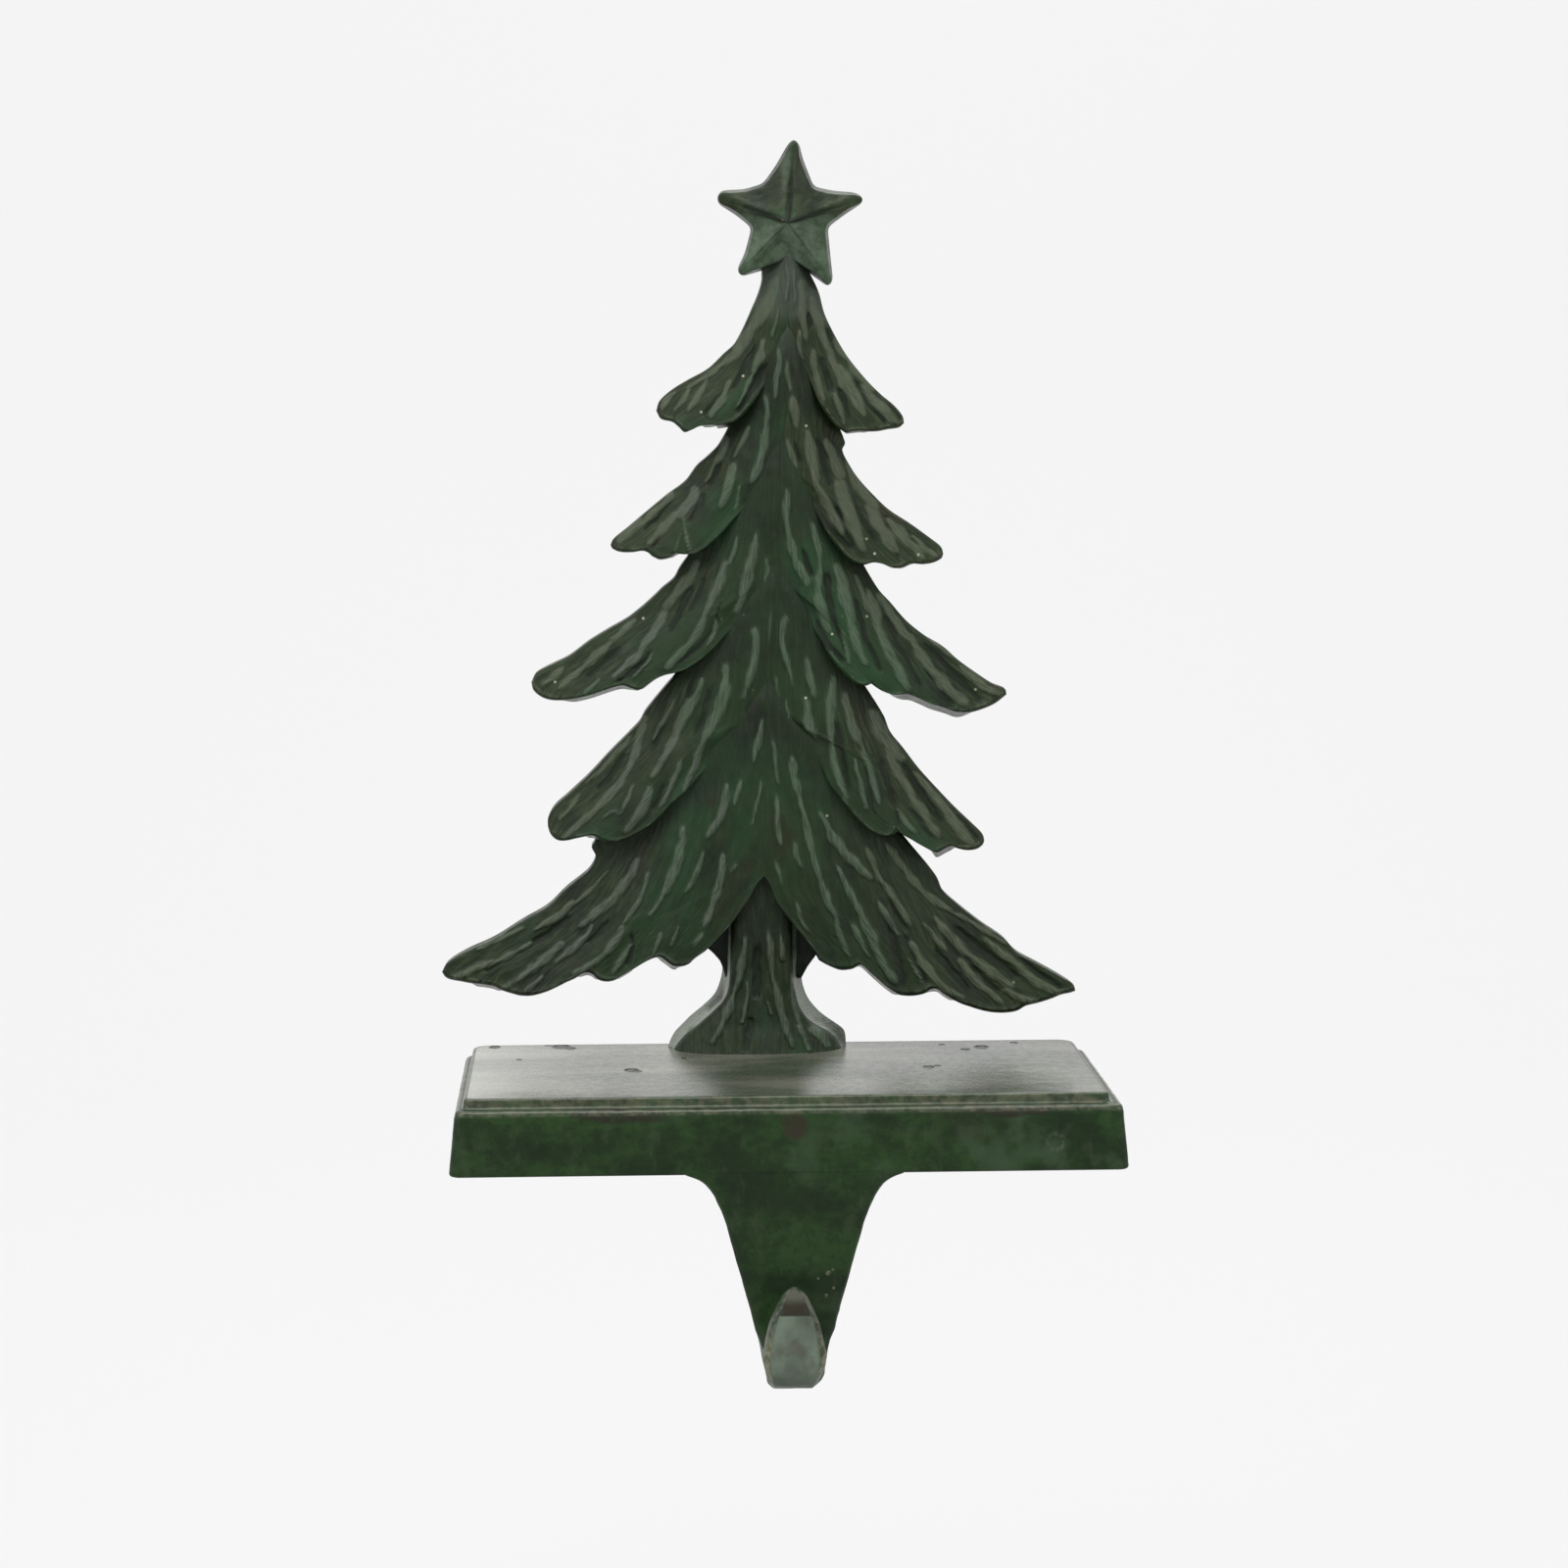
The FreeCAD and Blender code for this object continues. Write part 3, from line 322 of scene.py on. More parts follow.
TRUNK_LEFT = ((-11, 46), (-11.6, 21), (-11.4, 17.6), (-12.1, 14.5), (-13.2, 12.3), (-15.6, 10.2),
              (-18.4, 8.2), (-20.2, 6.2), (-21.7, 4.4), (-22.8, 2.2), (-23.5, 0))
TRUNK_RIGHT = ((7.5, 46), (7.2, 20.3), (6.4, 18.1), (6.2, 16.2), (6.6, 13.7), (7.6, 11.3),
               (9.6, 9.2), (12.2, 7.7), (14.4, 5.9), (15.8, 3.8), (16.2, 0))
TRUNK_STROKES = ((-6.3, 26, -7.3, 19, -9, 12.5, 1.6), (-8.8, 13.5, -10.5, 8.5, -13.8, 2, 2),
                 (-6, 16, -6, 11, -7.3, 6.5, 1), (-0.9, 27, -0.7, 21, 0.5, 14, 1.6),
                 (0.3, 15, 1.8, 9, 4.5, 1, 1.8), (1.8, 26.3, 2, 23.5, 2.1, 20.5, 1.2),
                 (-1.3, 11.5, -0.8, 9.8, -0.4, 8.3, 0.7), (5.4, 6.2, 7, 3, 8.2, 0.4, 1.4),
                 (8, 5.5, 10.6, 3.4, 12.6, 0.8, 1.6), (-15, 8.5, -17.5, 6.2, -20, 4, 1.5),
                 (4.1, 18, 4.6, 11, 6.6, 4.8, 1.2))
TRUNK_GROOVES = ((-3.5, 24, -3.6, 17, -3.8, 12, 2.2), (-9.6, 9, -11, 6.5, -12.6, 4.6, 1.4),
                 (3, 7, 3.6, 3.6, 4.6, 0.5, 1), (6.2, 5.4, 7.6, 3, 8.9, 0.6, 0.9),
                 (-5, 8, -5.5, 4, -6.5, 0.5, 2), (6.9, 10.4, 7.5, 9, 8.5, 7.2, 1.3))

STAR_OUTLINE = ((3.1, 199.4), (4.5, 200.8), (5.7, 199.4), (6.3, 196.6), (8.7, 190.6), (13, 189.7),
                (17.6, 189.4), (19.4, 188.4), (19.2, 187.2), (15.5, 184.8), (11.7, 182),
                (12.3, 176), (12.9, 170.6), (11.9, 169.3), (8.5, 171.8), (3.5, 175), (-2, 172.9),
                (-7, 171.5), (-7.8, 172.9), (-6, 176.6), (-4.6, 181.9), (-8, 184.6), (-11.8, 186.9),
                (-12.1, 188.4), (-11.2, 189.7), (-6, 190), (-2.1, 191.2), (0.6, 195))
STAR_TIPS = ((4.5, 200.4), (19.3, 187.9), (12.6, 169.7), (-7.6, 171.9), (-12, 188.2))
STAR_CENTRE = (3.2, 183.1)
STAR_FACE = 8.0
STAR_PEAK = 11.2
STAR_ROUND = 0.5
CREASE_WIDTH = 0.72
CREASE_DEPTH = 0.45
CREASE_STRENGTHS = (1.3, 1.0, 0.45, 0.45, 1.0)

# Casting pits on the base top, as x, y, radius
PITS = ((-47.4, 26, 1.1), (-45.3, 23.9, 0.7), (-50.2, 28, 0.5), (-62.3, 26.4, 0.7),
        (-31.7, -1, 0.9), (-30.4, -2.2, 0.5), (33.1, -1, 0.7), (35.2, 0.4, 0.4), (47.1, 20.5, 0.9),
        (43.2, 18, 0.6), (55, 25, 0.5), (38.5, 24, 0.4), (-20, 12, 0.3), (-56.5, 12, 0.35))

# Where a bough's side wall shows as a thin band under its lower edge, as the range of x
# and the band's height, for the left and right bough of each tier
BANDS = (
    (((-15.5, -12.5, 0.5),), ((15.0, 21.0, 0.35),)),
    (((-26.0, -22.0, 0.2),), ((27.0, 31.0, 0.2),)),
    (((-47.0, -29.5, 0.75),), ((25.0, 44.5, 1.2),)),
    (((-41.5, -37.0, 0.55),), ((35.0, 40.5, 1.0),)),
    (((-67.0, -60.0, 0.6), (-43.5, -39.0, 0.6), (-35.0, -31.0, 0.3), (-26.0, -21.0, 0.8)),
     ((18.0, 28.5, 0.7), (34.0, 40.5, 0.6))),
)

# Front edge of the trunk's face, inside its outline
TRUNK_FACE_LEFT = ((-9.2, 46), (-9.6, 21), (-9.8, 17), (-10.2, 13.6), (-11.2, 11.4), (-13.6, 8.8),
                   (-16, 6.6), (-18, 4.8), (-19.8, 3.2), (-21.3, 1.4), (-22.2, 0))
TRUNK_FACE_RIGHT = ((4.2, 46), (4.3, 20.3), (4.4, 18), (4.5, 15.6), (5, 12.6), (5.9, 9.6),
                    (7.7, 6.9), (10, 5.2), (12.3, 3.8), (13.9, 2.2), (15.2, 0))

# Sunk web between the trunk and the lowest boughs: height, left x and right x
WEB = ((42, -9, 4), (33, -10.5, 5.5), (27, -13, 7.6), (24.4, -15.2, 9.6), (22.8, -13.4, 9.9),
       (21.2, -12, 8.8), (19.6, -11.3, 7.6), (17, -10.6, 6.2))

# Width of the stem by height, with the round fillets under the base
STEM_WIDTHS = ((-44.3, 12), (-41, 13.7), (-37, 15.2), (-34, 16.6), (-30.9, 18.1), (-27.8, 19.7),
               (-24.7, 21.4), (-20, 24), (-18.6, 24.8), (-14.9, 26.8), (-10.8, 29), (-7.7, 31.2),
               (-4.7, 34), (-3.2, 35.9), (-2.1, 37.8), (-1.2, 40.4), (-0.5, 43.6), (0, 47))

# Width of the finger by height, as it looks from the front
FINGER_WIDTHS = ((-42.9, 4.5), (-42.4, 7), (-41.8, 9.2), (-40.9, 10.7), (-39.1, 12), (-37.3, 12.8),
                 (-35.5, 13.1), (-32.5, 12.1), (-29.5, 10.8), (-28, 9.8), (-26.5, 8.6),
                 (-24.7, 6.9), (-23.2, 5.1), (-22.4, 3.2), (-22, 1.8))

# Marks on the front of the base and its stem, as x, z, radius
APRON_FACE = -32.4
SMUDGES = ((-35, 12.6, 3.4), (-28.5, 12.4, 2.6), (-41, 12.9, 2.4), (47, 12.6, 2.8),
           (52.5, 12.8, 2.2), (41, 13.1, 1.8))
RUST_SPOT = ((2.15, 10.1, 3.6),)
RING_OUTER = ((57.0, 6.2, 2.6),)
RING_INNER = ((57.0, 6.2, 1.9),)
FLECKS = ((9.1, -21.3, 0.7), (8.6, -26.2, 0.6), (10.2, -24.5, 0.4), (6.9, -22.4, 0.4),
          (10, -20.6, 0.4))

# Chips in the tree's paint, as x and height above the base
TREE_SPECKS = ((7.2, 79.5), (12, 53.2), (54, 15.2), (-6.5, 150), (7.3, 139.2), (-15.7, 142.2),
               (20.5, 114.5), (22.3, 111.3), (32, 111), (13, 93.6), (20.8, 97.4), (45, 81),
               (-48, 83.2), (-28.5, 97))


def smooth(values, low, high):
    share = np.clip((np.asarray(values, float) - low) / (high - low), 0, 1)
    return share * share * (3 - 2 * share)


def lattice_noise(x, y, seed):
    """Smooth noise from -1 to 1 on a plane, the same on every run."""
    x = np.asarray(x, float)
    y = np.asarray(y, float)
    xi = np.floor(x).astype(np.int64)
    yi = np.floor(y).astype(np.int64)
    fx = x - xi
    fy = y - yi
    fx = fx * fx * (3 - 2 * fx)
    fy = fy * fy * (3 - 2 * fy)

    def corner(ix, iy):
        h = (ix * 374761393 + iy * 668265263 + seed * 982451653) & 0x7FFFFFFF
        h = ((h ^ (h >> 13)) * 1274126177) & 0x7FFFFFFF
        return (h ^ (h >> 16)) % 10007 / 5003.0 - 1.0

    low = corner(xi, yi) * (1 - fx) + corner(xi + 1, yi) * fx
    high = corner(xi, yi + 1) * (1 - fx) + corner(xi + 1, yi + 1) * fx
    return low * (1 - fy) + high * fy


def curve_points(points, shares):
    """Points at shares of the length along a smooth line through the given points."""
    p = np.array(points, float)
    run = np.concatenate([[0], np.cumsum(np.hypot(*np.diff(p, axis=0).T))])
    wanted = np.asarray(shares, float) * run[-1]
    i = np.clip(np.searchsorted(run, wanted, side="right") - 1, 0, len(p) - 2)
    s = ((wanted - run[i]) / (run[i + 1] - run[i]))[:, None]
    slope = np.empty_like(p)
    slope[1:-1] = (p[2:] - p[:-2]) / (run[2:] - run[:-2])[:, None]
    slope[0] = (p[1] - p[0]) / (run[1] - run[0])
    slope[-1] = (p[-1] - p[-2]) / (run[-1] - run[-2])
    gap = (run[i + 1] - run[i])[:, None]
    a, b = p[i], p[i + 1]
    return ((1 + 2 * s) * (1 - s) ** 2 * a + s * s * (3 - 2 * s) * b
            + gap * s * (1 - s) ** 2 * slope[i] - gap * s * s * (1 - s) * slope[i + 1])


def line_length(points):
    return float(np.hypot(*np.diff(np.array(points), axis=0).T).sum())


def edge_stations(count, length, fine_start, fine_end):
    """Shares from 0 to 1, evenly spaced with extra stations close to the chosen ends."""
    close = np.array([0.1, 0.28, 0.55, 0.9]) / max(length, 1)
    shares = np.linspace(0, 1, count)
    if fine_start:
        shares = np.concatenate([shares[shares > close[-1] * 1.3], close, [0]])
    if fine_end:
        shares = np.concatenate([shares[shares < 1 - close[-1] * 1.3], 1 - close, [1]])
    return np.unique(shares)


# The outlines are drawn as they look on one plane from the camera's place
SIGHT = np.array([CAMERA_PLACE[0], CAMERA_PLACE[2] - BASE_TOP])
SIGHT_DEPTH = TREE_FRONT - CAMERA_PLACE[1]


def set_back(places, depth):
    """Places on the drawing plane, moved along the lines of sight to another depth."""
    grow = (np.asarray(depth, float) - CAMERA_PLACE[1]) / SIGHT_DEPTH
    return SIGHT + (places - SIGHT) * grow[..., None]


def stroke_field(x, rise, drawn):
    """Height from 0 to 1 of drawn strokes with pointed ends, at each place."""
    raised = np.zeros_like(x)
    x = x + 0.30 * lattice_noise(x / 1.6, rise / 3.4, 71)
    uneven = 1 + 0.38 * lattice_noise(x / 1.9, rise / 2.4, 73)
    t = np.linspace(0, 1, 22)[:, None]
    for x0, r0, x1, r1, x2, r2, width in drawn:
        start, middle, end = np.array([x0, r0]), np.array([x1, r1]), np.array([x2, r2])
        pull = 2 * middle - (start + end) / 2
        path = (1 - t) ** 2 * start + 2 * t * (1 - t) * pull + t ** 2 * end
        low = path.min(0) - width
        high = path.max(0) + width
        near = (x > low[0]) & (x < high[0]) & (rise > low[1]) & (rise < high[1])
        if not near.any():
            continue
        spots = np.stack([x[near], rise[near]], axis=1)
        way = np.gradient(path, axis=0)
        step = np.hypot(*way.T)
        way /= step[:, None]
        gap = spots[:, None] - path[None]
        closest = (gap ** 2).sum(2).argmin(1)
        offset = gap[np.arange(len(spots)), closest]
        along = (offset * way[closest]).sum(1)
        across = np.abs(offset[:, 0] * way[closest, 1] - offset[:, 1] * way[closest, 0])
        share = (closest + along / step[closest]) / (len(path) - 1)
        half = width * 0.59 * np.sin(math.pi * np.clip(0.05 + 0.90 * share, 0, 1)) ** 0.4 + 1e-6
        half *= uneven[near]
        bar = np.clip(1 - (across / half) ** 2, 0, 1)
        bar *= smooth(share, -0.02, 0.06) * (1 - smooth(share, 0.94, 1.02))
        raised[near] = np.maximum(raised[near], bar * min(1.0, 0.55 + 0.25 * width))
    return raised


class Shell:
    """Points, faces and paint masks of one mesh, gathered part by part."""

    def __init__(self):
        self.points = []
        self.faces = []
        self.masks = []

    def add(self, points, masks):
        start = len(self.points)
        self.points.extend(map(tuple, points))
        self.masks.extend(map(tuple, masks))
        return start

    def grid(self, start, rows, columns, turned):
        """Faces over a grid of points; returns the loop of its border."""

        def at(i, j):
            return start + i * columns + j

        for i in range(rows - 1):
            for j in range(columns - 1):
                face = (at(i, j), at(i + 1, j), at(i + 1, j + 1), at(i, j + 1))
                self.faces.append(face[::-1] if turned else face)
        rim = [at(0, j) for j in range(columns)]
        rim += [at(i, columns - 1) for i in range(1, rows)]
        rim += [at(rows - 1, j) for j in range(columns - 2, -1, -1)]
        rim += [at(i, 0) for i in range(rows - 2, 0, -1)]
        return rim

    def to_object(self, name):
        mesh = bpy.data.meshes.new(name)
        mesh.from_pydata([tuple(c * MM for c in p) for p in self.points], [], self.faces)
        masks = np.array(self.masks, np.float32)
        for layer_name, columns in (("paint", (0, 1, 2)), ("tone", (3, 4, 5)), ("flow", (6, 7, 8))):
            if masks.shape[1] <= columns[0]:
                continue
            layer = mesh.color_attributes.new(layer_name, "FLOAT_COLOR", "POINT")
            flat = np.ones((len(self.points), 4), np.float32)
            flat[:, :3] = masks[:, columns]
            layer.data.foreach_set("color", flat.ravel())
        mesh.validate()
        mesh.update()
        thing = bpy.data.objects.new(name, mesh)
        bpy.context.collection.objects.link(thing)
        mesh.shade_smooth()
        return thing


def lay_front(shell, grid, height, masks, turned, rise=None):
    """Front of a form; returns its rim and the rim's places as x and z."""
    places = set_back(grid, TREE_BACK - height)
    rise = places[..., 1] if rise is None else rise
    spots = np.stack([places[..., 0], TREE_BACK - height, BASE_TOP + rise], axis=-1)
    start = shell.add(spots.reshape(-1, 3), masks.reshape(-1, 9))
    rim = shell.grid(start, *height.shape, turned)
    return rim, np.array([shell.points[i] for i in rim])[:, [0, 2]]


def rim_sides(rows, columns):
    """Side of each rim point: 0 the first row, 1 the last column, 2 the last row, 3 the first."""
    return np.array([0] * columns + [1] * (rows - 1) + [2] * (columns - 1) + [3] * (rows - 2))


def close_relief(shell, rim, foot, back, turned, wall_highlight):
    """Side wall from a loop of front points to its foot loop, and a flat back."""
    ring = np.array([shell.points[i] for i in rim])
    wall = np.array([shell.masks[i] for i in rim])
    wall[:, :3] = (0, 0, 0)
    # Strength of the painted highlight on the side walls; the flat back below gets none
    wall[:, 5] = wall_highlight
    start = shell.add(ring, wall)
    previous = list(range(start, start + len(rim)))
    for depth, spread in ((0.3, 0.24), (1.0, 1.0)):
        spot = ring.copy()
        spot[:, 0] += (foot[:, 0] - ring[:, 0]) * spread
        spot[:, 2] += (foot[:, 1] - ring[:, 2]) * spread
        spot[:, 1] += (TREE_BACK - back - ring[:, 1]) * depth
        start = shell.add(spot, wall)
        now = list(range(start, start + len(rim)))
        for i in range(len(rim)):
            k = (i + 1) % len(rim)
            face = (previous[i], previous[k], now[k], now[i])
            shell.faces.append(face[::-1] if turned else face)
        previous = now
    wall[:, 5] = 0
    start = shell.add(spot, wall)
    flat = tuple(range(start, start + len(rim)))
    shell.faces.append(flat[::-1] if turned else flat)


def outward(ring, turn):
    """Unit vectors in the plane that point out of a loop, evened out along it."""
    run = np.roll(ring, -2, axis=0) - np.roll(ring, 2, axis=0)
    out = np.stack([run[:, 1], -run[:, 0]], axis=1) * turn
    out /= np.maximum(np.hypot(*out.T), 1e-6)[:, None]
    for _ in range(4):
        out = np.roll(out, 1, axis=0) + 2 * out + np.roll(out, -1, axis=0)
        out /= np.maximum(np.hypot(*out.T), 1e-6)[:, None]
    return out


def round_off(distance, radius):
    near = np.clip(distance, 0, radius)
    return radius - np.sqrt(np.maximum(0, radius ** 2 - (radius - near) ** 2))


def bough(shell, index, side):
    """One carved bough as a closed form, with its walls."""
    tier = TIERS[index]
    seam = tier["seam"]
    trace, hem, inner = tier["right" if side else "left"]
    trace = np.array(trace, float)
    pull = np.array(seam[0], float) - trace[0]
    trace = np.vstack([trace[0] + pull / np.hypot(*pull) * 9.0, trace])
    tip_gap = np.hypot(*(trace - trace[-1]).T)
    lead = trace + (trace - SIGHT) * 0.0062 * smooth(tip_gap, 0, 5)[:, None]
    lap = -SEAM_LAP if side else SEAM_LAP
    seam = tuple((x + lap, rise) for x, rise in seam)
    inner = (seam[-1],) + tuple(inner)
    seam_length = line_length(seam)
    part = seam_length / (seam_length + line_length(inner))
    outer_length = line_length(lead)
    hem_length = line_length(hem)
    us = edge_stations(int(outer_length / STEP_ALONG), outer_length, False, True)
    us = np.unique(np.append(us, part))
    us = us[(np.abs(us - part) > 0.4 / outer_length) | (us == part)]
    vs = edge_stations(int(max(hem_length, 26.0) / STEP_ACROSS), hem_length * 0.8, True, True)
    left = np.where((us <= part)[:, None],
                    curve_points(seam, np.clip(us / part, 0, 1)),
                    curve_points(inner, np.clip((us - part) / (1 - part), 0, 1)))
    right = curve_points(lead, us)
    foot_outer = curve_points(trace, us)
    up = curve_points((seam[0], tuple(lead[0])), vs)
    down = curve_points(hem, vs)
    u = us[:, None, None]
    v = vs[None, :, None]
    grid = ((1 - v) * left[:, None] + v * right[:, None] + (1 - u) * up[None] + u * down[None]
            - (1 - u) * ((1 - v) * up[0] + v * up[-1]) - u * ((1 - v) * down[0] + v * down[-1]))
    uu, vv = np.meshgrid(us, vs, indexing="ij")
    to_outer = np.linalg.norm(grid - right[:, None], axis=2)
    to_hem = np.linalg.norm(grid - down[None], axis=2)
    to_seam = np.linalg.norm(grid - left[:, None], axis=2)
    to_inner = np.where(uu > part, to_seam, 99.0)
    below = np.clip((uu - part) / (1 - part), 0, 1)
    parted = smooth(below, 0.28, 0.62)
    x, rise = grid[..., 0], grid[..., 1]

    high = SEAM_HEIGHT - SHOULDER_DROP * smooth(vv, 0.12, 1.0)
    low = HEM_HEIGHT - TIP_DROP * vv ** 1.5
    height = high + (low - high) * uu ** 1.7
    height -= SEAM_DIP * (1 - smooth(uu, 0.0, 0.1))
    height += PILLOW * np.sin(math.pi * vv) ** 2 * (0.35 + 0.65 * uu)
    sunk = (1 - parted) * smooth(uu, part * 0.4, part) * (1 - smooth(to_seam, 0.0, SINK_REACH))
    if index < len(TIERS) - 1:
        height -= SINK_DEPTH * sunk
    raised = stroke_field(x, rise, STROKES[index])
    cut = stroke_field(x, rise, GROOVES[index])
    away = np.minimum(np.minimum(to_outer, to_hem), to_inner)
    calm = 0.3 + 0.7 * smooth(away, 0.2, 2.0)
    height += (raised * STROKE_HEIGHT - cut * GROOVE_DEPTH * (1 - raised)) * calm
    slant = x + rise * 0.5 * (1 if side else -1)
    height += WAVE_HEIGHT * lattice_noise(slant / 2.6, rise / 9.0, 11) * calm
    height += GRAIN_HEIGHT * lattice_noise(x / 1.3, rise / 2.2, 23)
    rim_gap = np.minimum(to_hem, to_inner + 50 * (1 - parted))
    bead = np.exp(-((rim_gap - BEAD_INSET) / BEAD_WIDTH) ** 2)
    height += BEAD_HEIGHT * bead
    height -= np.maximum(round_off(np.minimum(to_outer, to_hem), EDGE_ROUND),
                         round_off(to_inner, EDGE_ROUND) * parted)
    green = 1 - smooth(vv, 0.30, 0.85)
    if side and index < 2:
        green = green * 0.35
    # Mask of painted shade on the root of each bough, where the tier above overhangs it
    overhang_shade = 1 - smooth(uu, 0.10, 0.45)
    edge = np.exp(-(rim_gap / 0.35) ** 2)
    along = uu * outer_length
    across = vv * 30.0 + 40.0 * index + 200.0 * side
    # Channels: strokes, painted shade in the grooves, painted highlight on the raised bead, green
    # tone, painted shade under the tier above, side-wall highlight (set with the walls), and the
    # fibres' flow
    masks = np.stack([raised, cut, bead * (1 - edge), green, overhang_shade, 0 * uu,
                      along, across, 0 * uu], axis=-1)
    rim, ring = lay_front(shell, grid, height, masks, not side)

    rows, columns = height.shape
    kind = rim_sides(rows, columns)
    out = outward(ring, 1)
    foot = ring.copy()
    behind_outer = set_back(foot_outer, np.full(rows, TREE_BACK))
    foot[kind == 1] = behind_outer[1:] + [0, BASE_TOP]
    band = np.full(columns, 0.08)
    for x0, x1, deep in BANDS[index][side]:
        spread = (x1 - x0) * 0.22
        band = np.maximum(band, deep * smooth(down[:, 0], x0 - 0.2, x0 + spread)
                          * (1 - smooth(down[:, 0], x1 - spread, x1 + 0.2)))
    under = set_back(down - np.array([0, 1.0]) * band[:, None], np.full(columns, TREE_BACK))
    foot[kind == 2] = under[::-1][1:] + [0, BASE_TOP]
    inner_out = np.where(kind == 3)[0]
    fade = np.where(us[::-1][1:-1] > part, 1.0, 0.0)
    foot[inner_out] = ring[inner_out] + out[inner_out] * (0.9 * fade)[:, None]
    shift = foot - ring
    for _ in range(3):
        eased = (np.roll(shift, 1, axis=0) + 2 * shift + np.roll(shift, -1, axis=0)) / 4
        corner = np.zeros(len(kind), bool)
        for joint in (columns - 1, columns + rows - 2, 2 * columns + rows - 3):
            corner[max(0, joint - 4):joint + 5] = True
        shift = np.where(corner[:, None], eased, shift)
    # Painted highlight on the walls under the hems, weaker on the other walls
    wall_highlight = np.where(kind == 2, 0.8, 0.55)
    back = BOUGH_BACK * (index + 1) + BOUGH_BACK / 2 * side
    close_relief(shell, rim, ring + shift, back, not side, wall_highlight)


def trunk(shell):
    """Fluted trunk with roots that spread on the base."""
    us = np.unique(np.concatenate([np.linspace(0, 0.5, 22), np.linspace(0.5, 1, 84)]))
    vs = edge_stations(64, 15, True, True)
    left = curve_points(TRUNK_FACE_LEFT, us)
    right = curve_points(TRUNK_FACE_RIGHT, us)
    v = vs[None, :, None]
    grid = left[:, None] * (1 - v) + right[:, None] * v
    grid[-1, :, 1] = 0.0
    uu, vv = np.meshgrid(us, vs, indexing="ij")
    flare = uu ** 4
    crown = np.sqrt(np.clip(1 - np.abs(1 - 2 * vv) ** (6 - 3.4 * smooth(uu, 0.6, 1.0)), 0, 1))
    middle = TRUNK_HEIGHT + TRUNK_FLARE * flare
    height = middle * (0.66 + 0.34 * crown - 0.34 * (1 - crown) * smooth(uu, 0.7, 1.0))
    x, rise = grid[..., 0], grid[..., 1]
    raised = stroke_field(x, rise, TRUNK_STROKES)
    cut = stroke_field(x, rise, TRUNK_GROOVES)
    carved = raised * TRUNK_STROKE_HEIGHT - cut * TRUNK_GROOVE_DEPTH * (1 - raised)
    height += carved * crown * (1 - 0.4 * flare)
    height += 0.2 * lattice_noise(x / 2.0, rise / 6.0, 5) * crown
    height += GRAIN_HEIGHT * lattice_noise(x / 1.1, rise / 2.0, 7)
    height = np.minimum(height, TRUNK_LIMIT)
    # The trunk's upper part, behind the lowest boughs, gets painted shade through the overhang
    # channel
    shade = 1 - smooth(rise, 18, 30)
    masks = np.stack([raised, cut, 0 * uu, 0.45 + 0 * uu, 1.3 * (1 - shade), 0 * uu,
                      rise, x + 500.0, 0 * uu], axis=-1)
    rim, ring = lay_front(shell, grid, height, masks, False, rise)
    rows, columns = height.shape
    foot = ring.copy()
    kind = rim_sides(rows, columns)
    wide_right = set_back(curve_points(TRUNK_RIGHT, us), np.full(rows, TREE_BACK))
    wide_left = set_back(curve_points(TRUNK_LEFT, us), np.full(rows, TREE_BACK))
    foot[kind == 1, 0] = wide_right[1:, 0]
    foot[kind == 3, 0] = wide_left[::-1][1:-1, 0]
    share = (ring[kind == 2, 0] - ring[kind == 2, 0].min()) / np.ptp(ring[kind == 2, 0])
    foot[kind == 2, 0] = wide_left[-1, 0] + (wide_right[-1, 0] - wide_left[-1, 0]) * share
    # Painted highlight on the trunk's side walls, a little less on the right
    close_relief(shell, rim, foot, TRUNK_BACK, False, np.where(kind == 1, 0.93, 1.0))


def web(shell):
    """Low flat web that joins the trunk to the lowest boughs."""
    table = np.array(WEB)
    rises = np.linspace(table[0, 0], table[-1, 0], 50)
    order = np.argsort(table[:, 0])
    low = np.interp(rises, table[order, 0], table[order, 1])
    high = np.interp(rises, table[order, 0], table[order, 2])
    vs = edge_stations(26, 20, True, True)
    x = low[:, None] + (high - low)[:, None] * vs[None]
    rise = np.repeat(rises[:, None], len(vs), axis=1)
    edge = np.minimum(x - low[:, None], high[:, None] - x)
    edge = np.minimum(edge, rise - table[-1, 0])
    height = WEB_HEIGHT - round_off(np.maximum(edge, 0), EDGE_ROUND)
    height += 0.1 * lattice_noise(x / 1.5, rise / 2.0, 61)
    one = np.ones_like(x)
    # The web is painted near black all over: painted shade in the pocket between trunk and boughs
    masks = np.stack([0 * one, one, 0 * one, one, 1.6 * one, 0 * one, rise, x, 0 * one], axis=-1)
    rim, ring = lay_front(shell, np.stack([x, rise], axis=-1), height, masks, False)
    close_relief(shell, rim, ring, WEB_BACK, False, 0.0)


